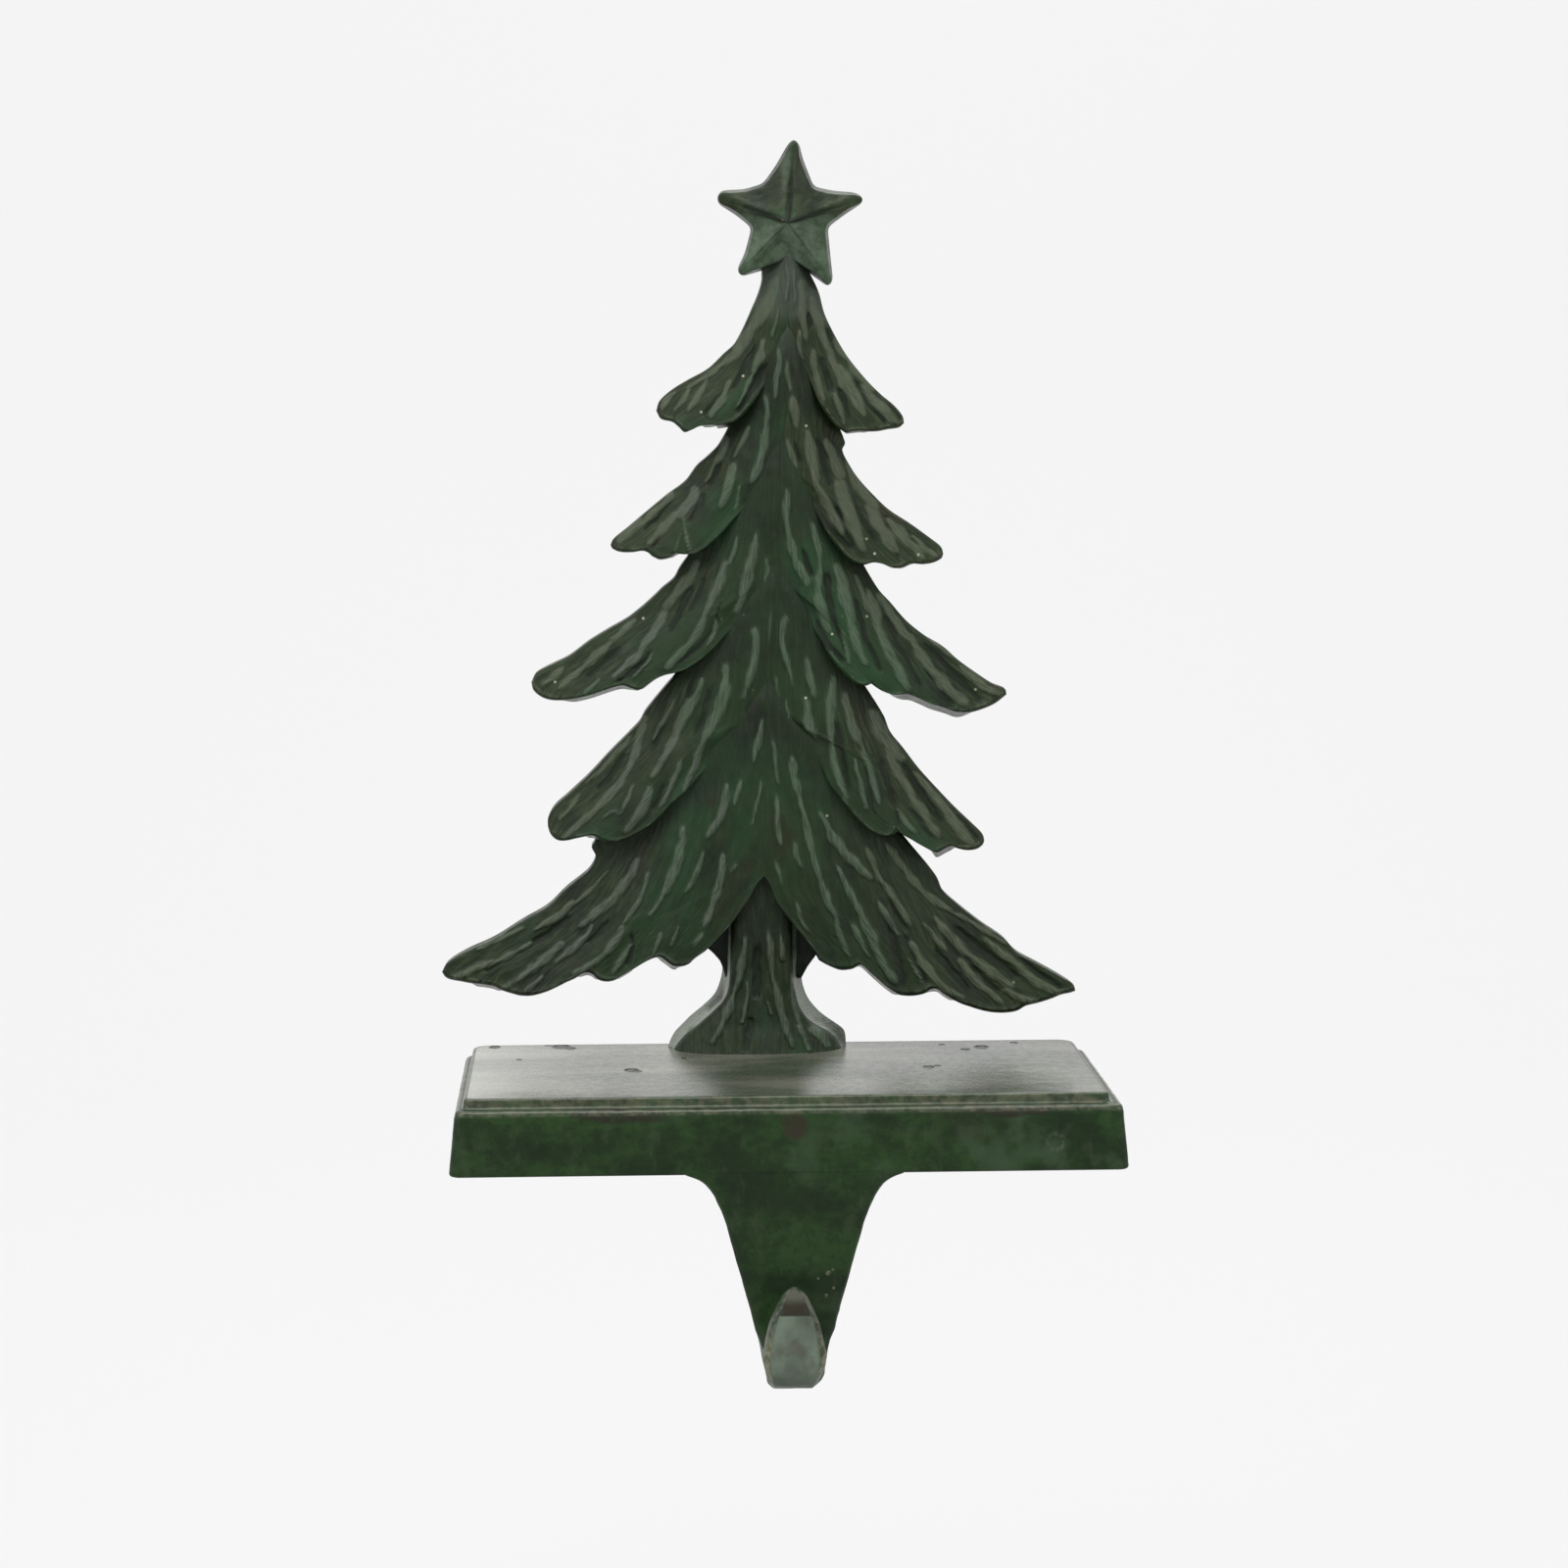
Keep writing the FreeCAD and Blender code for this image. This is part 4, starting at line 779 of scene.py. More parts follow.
def star(shell):
    """Faceted star whose arms are creased from the middle to each blunt tip."""
    outline = np.array(STAR_OUTLINE)
    centre = np.array(STAR_CENTRE)
    fine = []
    for a, b in zip(outline, np.roll(outline, -1, axis=0)):
        pieces = max(2, int(np.hypot(*(b - a)) / 0.55))
        fine.extend(a + (b - a) * s / pieces for s in range(pieces))
    fine = np.array(fine)
    for _ in range(3):
        fine = (np.roll(fine, 1, axis=0) + 2 * fine + np.roll(fine, -1, axis=0)) / 4
    fine = centre + (fine - centre) * 1.015
    turn = np.sum(fine[:, 0] * np.roll(fine[:, 1], -1) - np.roll(fine[:, 0], -1) * fine[:, 1])
    out = outward(fine, 1 if turn > 0 else -1)
    foot = set_back(fine, np.full(len(fine), TREE_BACK))
    tips = np.array(STAR_TIPS)
    tip_gap = np.hypot(*(fine[:, None] - tips[None]).transpose(2, 0, 1)).min(1)
    face_edge = fine - out * (0.15 + 0.45 * smooth(tip_gap, 0, 4))[:, None]
    shares = np.concatenate([np.linspace(0.05, 0.9, 20), [0.94, 0.965, 0.985, 1.0]])
    around = len(fine)
    first = shell.add([(centre[0], TREE_BACK - STAR_PEAK, BASE_TOP + centre[1])],
                      [(0, 0.8, 0, 0.5, 0, 0, 0, 0, 0)])
    previous = None
    for share in shares:
        ring = centre + (face_edge - centre) * share
        gap = (1 - share) * np.hypot(*(face_edge - centre).T)
        height = STAR_PEAK + (STAR_FACE - STAR_PEAK) * share - round_off(gap, STAR_ROUND)
        crease = np.zeros(around)
        for tip, deep in zip(tips, CREASE_STRENGTHS):
            way = (tip - centre) / np.hypot(*(tip - centre))
            offset = ring - centre
            along = offset @ way
            across = np.abs(offset @ np.array([-way[1], way[0]]))
            wide = CREASE_WIDTH * deep * (1 - 0.55 * smooth(along, 4, 12))
            line = np.exp(-(across / wide) ** 2) * (1 - 0.6 * smooth(along, 7, 15))
            crease = np.maximum(crease, np.where(along > 0, line, 0) * min(deep, 1.0))
        crease *= 0.85 + 0.30 * lattice_noise(ring[:, 0] / 1.2, ring[:, 1] / 1.2, 37)
        height += 0.10 * lattice_noise(ring[:, 0] / 1.6, ring[:, 1] / 1.6, 31)
        height -= CREASE_DEPTH * crease * min(1, share * 4)
        # Painted light and shade on the facets: the lower arms lighter, the upper facets darker and
        # less green, and painted shade along the creases
        upper = smooth(ring[:, 1], centre[1] + 0.5, centre[1] + 3.0) * smooth(
            np.abs(ring[:, 0] - centre[0]), 0.6, 2.2)
        low_arms = 1 - smooth(ring[:, 1], centre[1] - 2, centre[1] + 2)
        facet_light = (0.52 + 0.24 * low_arms - 0.40 * upper) * (1 - np.clip(crease * 1.3, 0, 1))
        places = set_back(ring, TREE_BACK - height)
        spots = np.column_stack([places[:, 0], TREE_BACK - height, BASE_TOP + places[:, 1]])
        # Painted highlight along the rounded edge of the face
        rim = np.exp(-((gap - 0.5) / 0.3) ** 2) * 0.5
        masks = np.column_stack([facet_light, crease, rim, 0.6 - 0.6 * upper, 0 * upper, 0 * upper,
                                 ring[:, 1], ring[:, 0] * 0.13, 0 * upper])
        start = shell.add(spots, masks)
        for i in range(around):
            k = (i + 1) % around
            if previous is None:
                shell.faces.append((start + i, start + k, first))
            else:
                shell.faces.append((start + i, start + k, previous + k, previous + i))
        previous = start
    rim = [previous + i for i in range(around)]
    close_relief(shell, rim[::-1], foot[::-1] + [0, BASE_TOP], 0.0, turn < 0, 0.35)


def tree_piece():
    shell = Shell()
    for index in range(len(TIERS)):
        for side in (0, 1):
            bough(shell, index, side)
    web(shell)
    trunk(shell)
    star(shell)
    thing = shell.to_object("tree_relief")
    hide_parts("tree")
    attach(thing, "root")
    return thing


def plinth_ring(width, depth, front_radius, rear_radius, pieces):
    """Points round a rectangle with rounded plan corners, with the same number on each stretch."""
    x, y = width / 2, depth / 2
    corners = ((1, -1, front_radius, -90), (1, 1, rear_radius, 0),
               (-1, 1, rear_radius, 90), (-1, -1, front_radius, 180))
    arcs = []
    for sx, sy, radius, start in corners:
        turn = np.radians(start + np.linspace(0, 90, 9))
        arcs.append(np.stack([sx * (x - radius) + radius * np.cos(turn),
                              sy * (y - radius) + radius * np.sin(turn)], axis=1))
    ring = []
    for i, arc in enumerate(arcs):
        ring.extend(arc)
        after = arcs[(i + 1) % 4][0]
        count = pieces[i % 2]
        ring.extend(arc[-1] + (after - arc[-1]) * s / count for s in range(1, count))
    return np.array(ring)


def lean(z):
    """Sideways shift of the casting: the apron lies a little to one side of its plate."""
    return APRON_SHIFT if z <= APRON_HEIGHT + 0.05 else PLATE_SHIFT


def plinth(shell):
    """Stepped plinth: plate, ledge, flared apron, foot and the recess underneath."""
    pieces = (80, 170)
    rounds = []
    plate_inset = APRON_FLARE + LEDGE_WIDTH
    for a in np.radians(np.linspace(90, 0, 6)):
        rounds.append((plate_inset + PLATE_ROUND - PLATE_ROUND * math.cos(a),
                       BASE_TOP - PLATE_ROUND + PLATE_ROUND * math.sin(a), 1))
    for inset, lift in ((-0.05, 0.9), (-0.15, 0.35), (-0.5, 0.1)):
        rounds.append((plate_inset + inset, APRON_HEIGHT + lift, 1))
    rounds.append((plate_inset - 1.0, APRON_HEIGHT, 0))
    for a in np.radians(np.linspace(80, 5, 6)):
        rounds.append((APRON_FLARE + LEDGE_ROUND - LEDGE_ROUND * math.cos(a),
                       APRON_HEIGHT - LEDGE_ROUND + LEDGE_ROUND * math.sin(a), 1))
    for z in np.linspace(APRON_HEIGHT - 1.6, 1.2, 22):
        rounds.append((APRON_FLARE * z / APRON_HEIGHT, z, 0))
    for a in np.radians(np.linspace(0, 90, 7)):
        rounds.append((0.06 + FOOT_ROUND - FOOT_ROUND * math.cos(a),
                       FOOT_ROUND - FOOT_ROUND * math.sin(a), 0))
    rounds += [(WALL - 0.5, 0.0, 0), (WALL, 0.5, 0), (WALL, RECESS_TOP - 0.8, 0),
               (WALL + 0.8, RECESS_TOP, 0)]

    def ring_at(inset):
        front = max(FRONT_CORNER - inset * 0.3, 1.2)
        rear = max(REAR_CORNER - inset * 0.5, 1.5)
        return plinth_ring(BASE_WIDTH - 2 * inset, BASE_DEPTH - 2 * inset, front, rear, pieces)

    def roughness(spots):
        x, y, z = spots.T
        wave = 0.10 * lattice_noise(x / 7.0, y / 7.0 + z / 3.0, 41)
        return np.abs(wave + 0.05 * lattice_noise(x / 2.2 + z, y / 2.2 + z / 1.7, 43))

    starts = []
    for inset, z, edge in rounds:
        ring = ring_at(inset)
        count = len(ring)
        spots = np.column_stack([ring, np.full(count, z)])
        if 0.2 < z < BASE_TOP - 0.05 and inset < WALL - 1:
            wave = roughness(spots)
            spots[:, 1] += np.where(ring[:, 1] < 0, 1, -1) * wave * 0.6
            spots[:, 0] += np.where(ring[:, 0] < 0, 1, -1) * wave * 0.4
            spots[:, 2] -= wave * 0.8 * edge
        spots[:, 0] += lean(z)
        starts.append(shell.add(spots, np.tile([0.0, edge, 0.0, 0.0, 0.0, 0.0], (count, 1))))
    for a, b in zip(starts, starts[1:]):
        for i in range(count):
            k = (i + 1) % count
            shell.faces.append((a + i, b + i, b + k, a + k))

    def lid(inset, z, upward, first, rings):
        """Flat face drawn in towards the middle line."""
        outline = ring_at(inset)
        reach = BASE_WIDTH / 2 - BASE_DEPTH / 2
        middle = np.column_stack([np.clip(outline[:, 0], -reach, reach), np.zeros(len(outline))])
        before = first
        for share in np.linspace(0, 1, rings)[1:]:
            flat = outline + (middle - outline) * share
            spots = np.column_stack([flat, np.full(len(flat), z)])
            if upward:
                spots[:, 2] -= 0.25 * roughness(spots) * (1 - share * 0.3)
            spots[:, 0] += lean(z)
            now = shell.add(spots, np.tile([float(upward), 0.0, 0.0, 0.0, 0.0, 0.0], (len(flat), 1)))
            for i in range(len(flat)):
                k = (i + 1) % len(flat)
                face = (before + i, before + k, now + k, now + i)
                shell.faces.append(face if upward else face[::-1])
            before = now

    lid(rounds[0][0], BASE_TOP, True, starts[0], 60)
    lid(rounds[-1][0], RECESS_TOP, False, starts[-1], 8)


def hook_section(width, thickness, chamfer):
    """Loop round one cross-section: across and through, with chamfered corners."""
    w, t = width / 2, thickness / 2
    c = min(chamfer, w * 0.6, t * 0.8)
    corners = np.array([(w, t - c), (w - c, t), (-w + c, t), (-w, t - c),
                        (-w, -t + c), (-w + c, -t), (w - c, -t), (w, -t + c)])
    loop = []
    for i, a in enumerate(corners):
        b = corners[(i + 1) % 8]
        pieces = (3, 14)[i % 2]
        loop.extend(a + (b - a) * s / pieces for s in range(pieces))
    return np.array(loop), c


def stem_width(z):
    heights, widths = np.array(STEM_WIDTHS).T
    return float(np.interp(z, heights, widths))


def seen_height(y, z):
    """Height at which a spot of the hook appears on the plane of the finger's front."""
    finger_front = STEM_FRONT - 2 * BEND_INNER - STEM_THICKNESS
    grow = (finger_front - CAMERA_PLACE[1]) / (y - CAMERA_PLACE[1])
    return CAMERA_PLACE[2] + (z - CAMERA_PLACE[2]) * grow


def hook(shell):
    """Tapering stem, bend and upturned finger, drawn section by section along its middle."""
    outer = BEND_INNER + STEM_THICKNESS
    centre_y = STEM_FRONT - BEND_INNER
    centre_z = outer - HOOK_DROP
    middle = BEND_INNER + STEM_THICKNESS / 2
    table_z, table_width = np.array(FINGER_WIDTHS).T
    stations = []
    for z in np.concatenate([np.linspace(6.0, -9.0, 30), np.linspace(-9.5, centre_z, 36)]):
        y = STEM_FRONT + STEM_THICKNESS / 2 + 0.32 * max(0.0, z - 0.6)
        stations.append((HOOK_X, y, z, (0, -1, 0), stem_width(min(z, 0)), STEM_THICKNESS,
                         CHAMFER, 0.0))
    for angle in np.linspace(0, 180, 46)[1:]:
        a = math.radians(angle)
        skin_y = centre_y + outer * math.cos(a)
        skin_z = centre_z - outer * math.sin(a)
        narrow = float(np.interp(seen_height(skin_y, skin_z), table_z, table_width))
        turned = float(smooth(angle, 62, 100))
        width = stem_width(skin_z) * (1 - turned) + min(narrow, stem_width(skin_z)) * turned
        stations.append((HOOK_X - 0.8 * turned, centre_y + middle * math.cos(a),
                         centre_z - middle * math.sin(a), (0, -math.cos(a), math.sin(a)), width,
                         STEM_THICKNESS, CHAMFER + 0.8 * float(smooth(angle, 90, 160)),
                         float(smooth(angle, 105, 165))))
    for s in np.linspace(0, 1, 34)[1:]:
        z = centre_z + FINGER_RISE * s
        bevel = float(smooth(s, 0.60, 1.0))
        thick = STEM_THICKNESS - 3.4 * max(0.0, (s - 0.62) / 0.38)
        y = centre_y - BEND_INNER - thick / 2
        width = float(np.interp(z - 0.4 * bevel, table_z, table_width))
        stations.append((HOOK_X - 0.8, y, z, (0, 1, 0), width, thick, 1.5 * (1 - 0.45 * s),
                         1.0 if s < 0.62 else -1.0))
    previous = None
    for x, y, z, way, width, thick, chamfer, front in stations:
        loop, cut = hook_section(width, thick, chamfer)
        spots = np.array([(x + a, y, z) for a, b in loop]) - loop[:, 1:2] * np.array(way)
        rough = 0.10 * lattice_noise(spots[:, 0] / 3.0, spots[:, 2] / 3.0 + spots[:, 1], 53)
        inward = np.array([x, y, z]) - spots
        inward /= np.maximum(np.linalg.norm(inward, axis=1), 1e-6)[:, None]
        spots += inward * np.abs(rough)[:, None]
        face = (loop[:, 1] > thick / 2 - 0.02) & (np.abs(loop[:, 0]) < width / 2 - cut + 0.02)
        slope = (loop[:, 1] > thick / 2 - cut - 0.02) & ~face
        masks = np.zeros((len(loop), 6))
        masks[:, 2] = np.where(face, max(front, 0.0), 0.0)
        masks[:, 3] = np.where(slope, abs(front), 0.0)
        masks[:, 4] = np.where(face, max(-front, 0.0), 0.0)
        start = shell.add(spots, masks)
        count = len(loop)
        if previous is None:
            shell.faces.append(tuple(start + i for i in range(count))[::-1])
        else:
            for i in range(count):
                k = (i + 1) % count
                shell.faces.append((previous + i, previous + k, start + k, start + i))
        previous = start
    cap = shell.add([(x, y, z + 0.12)], [(0, 0, 0, 0, 1, 0)])
    for i in range(count):
        shell.faces.append((previous + i, previous + (i + 1) % count, cap))


def base_piece():
    shell = Shell()
    plinth(shell)
    hook(shell)
    thing = shell.to_object("base_casting")
    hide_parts("base_with_hook")
    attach(thing, "root")
    return thing


class Paint:
    """A material's nodes, laid out with short calls."""

    def __init__(self, name):
        self.material = bpy.data.materials.new(name)
        self.material.use_nodes = True
        self.tree = self.material.node_tree
        self.shader = self.tree.nodes["Principled BSDF"]
        self.place = self.node("ShaderNodeTexCoord").outputs["Object"]

    def node(self, kind, **settings):
        made = self.tree.nodes.new(kind)
        for key, value in settings.items():
            setattr(made, key, value)
        return made

    def link(self, source, target):
        self.tree.links.new(source, target)

    def masks(self, layer):
        source = self.node("ShaderNodeVertexColor", layer_name=layer).outputs["Color"]
        split = self.node("ShaderNodeSeparateColor")
        self.link(source, split.inputs[0])
        return split.outputs[0], split.outputs[1], split.outputs[2]

    def stretched(self, scale, place):
        moved = self.node("ShaderNodeMapping")
        moved.inputs["Scale"].default_value = scale
        self.link(place, moved.inputs["Vector"])
        return moved.outputs[0]

    def noise(self, scale, detail=4.0, rough=0.55, stretch=None, place=None):
        made = self.node("ShaderNodeTexNoise")
        made.inputs["Scale"].default_value = scale
        made.inputs["Detail"].default_value = detail
        made.inputs["Roughness"].default_value = rough
        place = place or self.place
        self.link(self.stretched(stretch, place) if stretch else place, made.inputs["Vector"])
        return made.outputs[0]

    def ramp(self, source, low, high, start=0.0, end=1.0):
        made = self.node("ShaderNodeMapRange", interpolation_type="SMOOTHSTEP")
        made.inputs["From Min"].default_value = low
        made.inputs["From Max"].default_value = high
        made.inputs["To Min"].default_value = start
        made.inputs["To Max"].default_value = end
        self.link(source, made.inputs["Value"])
        return made.outputs["Result"]

    def math(self, operation, a, b):
        made = self.node("ShaderNodeMath", operation=operation)
        for slot, value in zip(made.inputs, (a, b)):
            if isinstance(value, (int, float)):
                slot.default_value = value
            else:
                self.link(value, slot)
        return made.outputs[0]

    def both(self, a, b):
        return self.math("MULTIPLY", a, b)

    def blend(self, share, a, b):
        made = self.node("ShaderNodeMix", data_type="RGBA")
        if isinstance(share, (int, float)):
            made.inputs["Factor"].default_value = share
        else:
            self.link(share, made.inputs["Factor"])
        for slot, value in ((made.inputs["A"], a), (made.inputs["B"], b)):
            if isinstance(value, tuple):
                slot.default_value = (*value, 1.0)
            else:
                self.link(value, slot)
        return made.outputs["Result"]

    def over(self, colour, tint, *shares):
        """A tint laid over a colour, as strongly as the product of the shares."""
        share = shares[0]
        for other in shares[1:]:
            share = self.both(share, other)
        return self.blend(share, colour, tint)

    def axes(self):
        split = self.node("ShaderNodeSeparateXYZ")
        self.link(self.place, split.inputs[0])
        return split.outputs

    def bump(self, source, strength, distance, under=None):
        made = self.node("ShaderNodeBump")
        made.inputs["Strength"].default_value = strength
        made.inputs["Distance"].default_value = distance
        self.link(source, made.inputs["Height"])
        if under is not None:
            self.link(under, made.inputs["Normal"])
        return made.outputs[0]

    def dots(self, places, scale=(1.0, 1.0, 1.0)):
        """Mask of small spots given as x, y, z, radius, with each axis scaled."""
        found = 0.0
        seen = self.stretched(scale, self.place)
        for x, y, z, radius in places:
            gap = self.node("ShaderNodeVectorMath", operation="DISTANCE")
            self.link(seen, gap.inputs[0])
            gap.inputs[1].default_value = [a * b * MM for a, b in zip((x, y, z), scale)]
            dot = self.ramp(gap.outputs["Value"], radius * 0.55 * MM, radius * MM, 1.0, 0.0)
            found = self.math("MAXIMUM", found, dot)
        return found

    def marks(self, places, scale=(1.0, 1.0, 1.0)):
        """Mask of small spots on the front of the base, given as x, z, radius."""
        return self.dots([(x, APRON_FACE, z, radius) for x, z, radius in places], scale)


# Colours of the tree
BLACK_GREEN = (0.004, 0.008, 0.003)
DARK_GREEN = (0.010, 0.025, 0.007)
FRESH_GREEN = (0.011, 0.039, 0.013)
BRUSHED_GREEN = (0.064, 0.095, 0.060)
BRUSHED_TAN = (0.070, 0.084, 0.053)
BRUSHED_GREY = (0.073, 0.089, 0.069)
OLIVE = (0.015, 0.024, 0.007)
BROWN = (0.021, 0.017, 0.008)
WALL_HIGHLIGHT_GREY = (0.22, 0.24, 0.20)
ROOT_WALL_HIGHLIGHT = (0.34, 0.37, 0.32)
CHIP = (0.34, 0.34, 0.26)
CRUMB = (0.22, 0.22, 0.15)

# Colours of the base
APRON_DARK = (0.007, 0.018, 0.005)
APRON_GREEN = (0.014, 0.036, 0.009)
APRON_SPECK = (0.004, 0.009, 0.003)
APRON_WORN = (0.030, 0.042, 0.022)
APRON_PALE = (0.030, 0.052, 0.028)
SMUDGE = (0.014, 0.013, 0.008)
WORN_EDGE = (0.078, 0.080, 0.046)
RUST = (0.021, 0.015, 0.010)
RING = (0.060, 0.076, 0.052)
# Dust on the base top, lightened with painted sheen
DUST_AND_SHEEN_DULL = (0.085, 0.089, 0.070)
DUST_AND_SHEEN = (0.170, 0.165, 0.135)
DUST_AND_SHEEN_BRIGHT = (0.42, 0.42, 0.38)
PIT = (0.010, 0.012, 0.007)
FINGER_DULL = (0.060, 0.074, 0.056)
FINGER_GREEN = (0.115, 0.150, 0.112)
FINGER_BROWN = (0.066, 0.060, 0.050)
BRONZE_DARK = (0.017, 0.014, 0.008)
BRONZE = (0.070, 0.070, 0.055)
CREAM = (0.17, 0.175, 0.115)
CREAM_DULL = (0.10, 0.105, 0.088)
FLECK = (0.11, 0.12, 0.08)

ZINC_DULL = (0.50, 0.50, 0.48)
ZINC = (0.66, 0.66, 0.64)

# Background and lamps, in metres and watts
FLOOR_HEIGHT = -0.16
BACKDROP_WIDTH = 3.0
BACKDROP_BEND = 0.35
BACKDROP_GLOW = 0.89
BACKDROP_SHARE = 0.88
SKY_SEEN = 0.9
SKY_LIGHT = 0.25
LAMPS = (("overhead", (-0.15, -0.45, 1.3), (1.0, 0.8), 17),
         ("front_left", (-0.95, -0.9, 0.75), (0.7, 0.7), 8),
         ("front_right", (1.0, -0.9, 0.6), (0.7, 0.7), 6),
         ("rear", (0.3, 0.75, 1.1), (0.8, 0.6), 7))
BACKDROP_GREY = (0.86, 0.86, 0.86, 1.0)
WHITE = (1.0, 1.0, 1.0, 1.0)


def tree_paint():
    p = Paint("tree_paint")
    stroke_and_facet_light, groove_shade, rim = p.masks("paint")
    green, overhang_shade, wall = p.masks("tone")
    x, y, z = p.axes()
    front = p.ramp(y, 0.0245, 0.0225)
    grain = p.noise(420, 5.0, 0.65)
    blotch = p.noise(75, 3.0)
    wide = p.noise(30, 2.0)
    flow = p.node("ShaderNodeVertexColor", layer_name="flow").outputs["Color"]
    fibre = p.noise(1.0, 3.0, 0.6, (0.16, 1.25, 1.0), flow)
    streaks = p.noise(1.0, 4.0, 0.6, (0.35, 2.6, 1.0), flow)
    shadow = p.noise(130, 4.0, 0.6, (1.0, 1.0, 0.6))
    fresh = p.noise(90, 3.0, 0.5, (1.2, 1.0, 0.7))
    greenness = p.math("ADD", p.both(green, 0.75), p.ramp(wide, 0.40, 0.62, -0.25, 0.35))
    outer = p.ramp(green, 0.9, 0.2, 0.35, 1.0)

    # Mottled ground, with painted shade where a bough above overhangs it
    colour = p.blend(p.ramp(greenness, 0.15, 0.65), OLIVE, DARK_GREEN)
    colour = p.over(colour, BROWN, p.ramp(blotch, 0.54, 0.70, 0, 0.6))
    colour = p.over(colour, BLACK_GREEN, p.ramp(fibre, 0.40, 0.62, 0.0, 0.7), outer)
    colour = p.over(colour, BLACK_GREEN, p.ramp(shadow, 0.50, 0.68, 0.0, 0.8))
    colour = p.over(colour, FRESH_GREEN, p.ramp(fresh, 0.48, 0.66, 0, 0.65),
                    p.ramp(greenness, 0.1, 0.8, 0.25, 1.0))
    # Painted shade under the overhanging tier
    colour = p.over(colour, BLACK_GREEN, p.ramp(overhang_shade, 0.1, 0.9, 0, 0.6),
                    p.ramp(blotch, 0.35, 0.6, 0.5, 1.0))

    # Brushed light colour on the strokes and the neck, and the same colour as painted highlight on
    # the rims and the star's lit facets
    light = p.blend(p.ramp(p.math("ADD", green, p.ramp(wide, 0.3, 0.7, -0.4, 0.4)), 0.1, 0.8),
                    BRUSHED_TAN, BRUSHED_GREEN)
    light = p.over(light, BRUSHED_GREY, p.ramp(x, 0.004, -0.020, 0.1, 0.9),
                   p.ramp(blotch, 0.38, 0.58))
    colour = p.over(colour, light, p.ramp(fibre, 0.56, 0.30, 0.0, 0.25),
                    p.ramp(grain, 0.35, 0.6), outer)
    colour = p.over(colour, BRUSHED_GREY, p.ramp(z, 0.168, 0.184, 0.0, 0.6),
                    p.ramp(overhang_shade, 0.02, 0.2), front, p.ramp(streaks, 0.3, 0.6, 0.4, 1.0))
    # Painted shade in the carved grooves, the star's creases and the web
    colour = p.over(colour, BLACK_GREEN, p.ramp(groove_shade, 0.12, 0.7, 0, 0.95),
                    p.ramp(grain, 0.2, 0.6, 0.75, 1.0))
    colour = p.over(colour, BLACK_GREEN, p.ramp(z, 0.105, 0.045, 0.0, 0.22))
    # Brushed strokes, and painted light on the star's lower facets
    colour = p.over(colour, light, p.ramp(stroke_and_facet_light, 0.02, 0.80),
                    p.ramp(streaks, 0.34, 0.62, 0.30, 0.90))
    # Painted highlight along the raised beads of the boughs and the rounded edge of the star's face
    colour = p.over(colour, light, p.ramp(rim, 0.35, 1.0, 0, 0.65), p.ramp(grain, 0.42, 0.62))

    # Painted highlight on the side walls, strongest on the trunk's, then chips and crumbs
    colour = p.over(colour, WALL_HIGHLIGHT_GREY, p.ramp(wall, 0.5, 1.0, 0, 0.5),
                    p.ramp(grain, 0.30, 0.75, 0.3, 1.0))
    colour = p.over(colour, ROOT_WALL_HIGHLIGHT, p.ramp(wall, 0.86, 0.98, 0, 0.75),
                    p.ramp(blotch, 0.35, 0.5))
    chips = p.dots([(x, 0.0, z + BASE_TOP, 0.38) for x, z in TREE_SPECKS], (1.0, 0.0, 1.0))
    colour = p.over(colour, CHIP, chips, front, p.ramp(grain, 0.35, 0.6, 0.25, 0.85))
    colour = p.over(colour, CRUMB, p.ramp(p.noise(900, 2.0, 0.5), 0.74, 0.80),
                    p.ramp(wide, 0.45, 0.6), 0.7)
    p.link(colour, p.shader.inputs["Base Color"])
    gloss = p.ramp(grain, 0.3, 0.7, 0.34, 0.55)
    p.link(p.math("SUBTRACT", gloss, p.both(wall, 0.12)), p.shader.inputs["Roughness"])
    p.shader.inputs["Specular IOR Level"].default_value = 0.17
    fine = p.bump(grain, 0.30, 0.0005)
    p.link(p.bump(streaks, 0.35, 0.0009, fine), p.shader.inputs["Normal"])
    return p.material


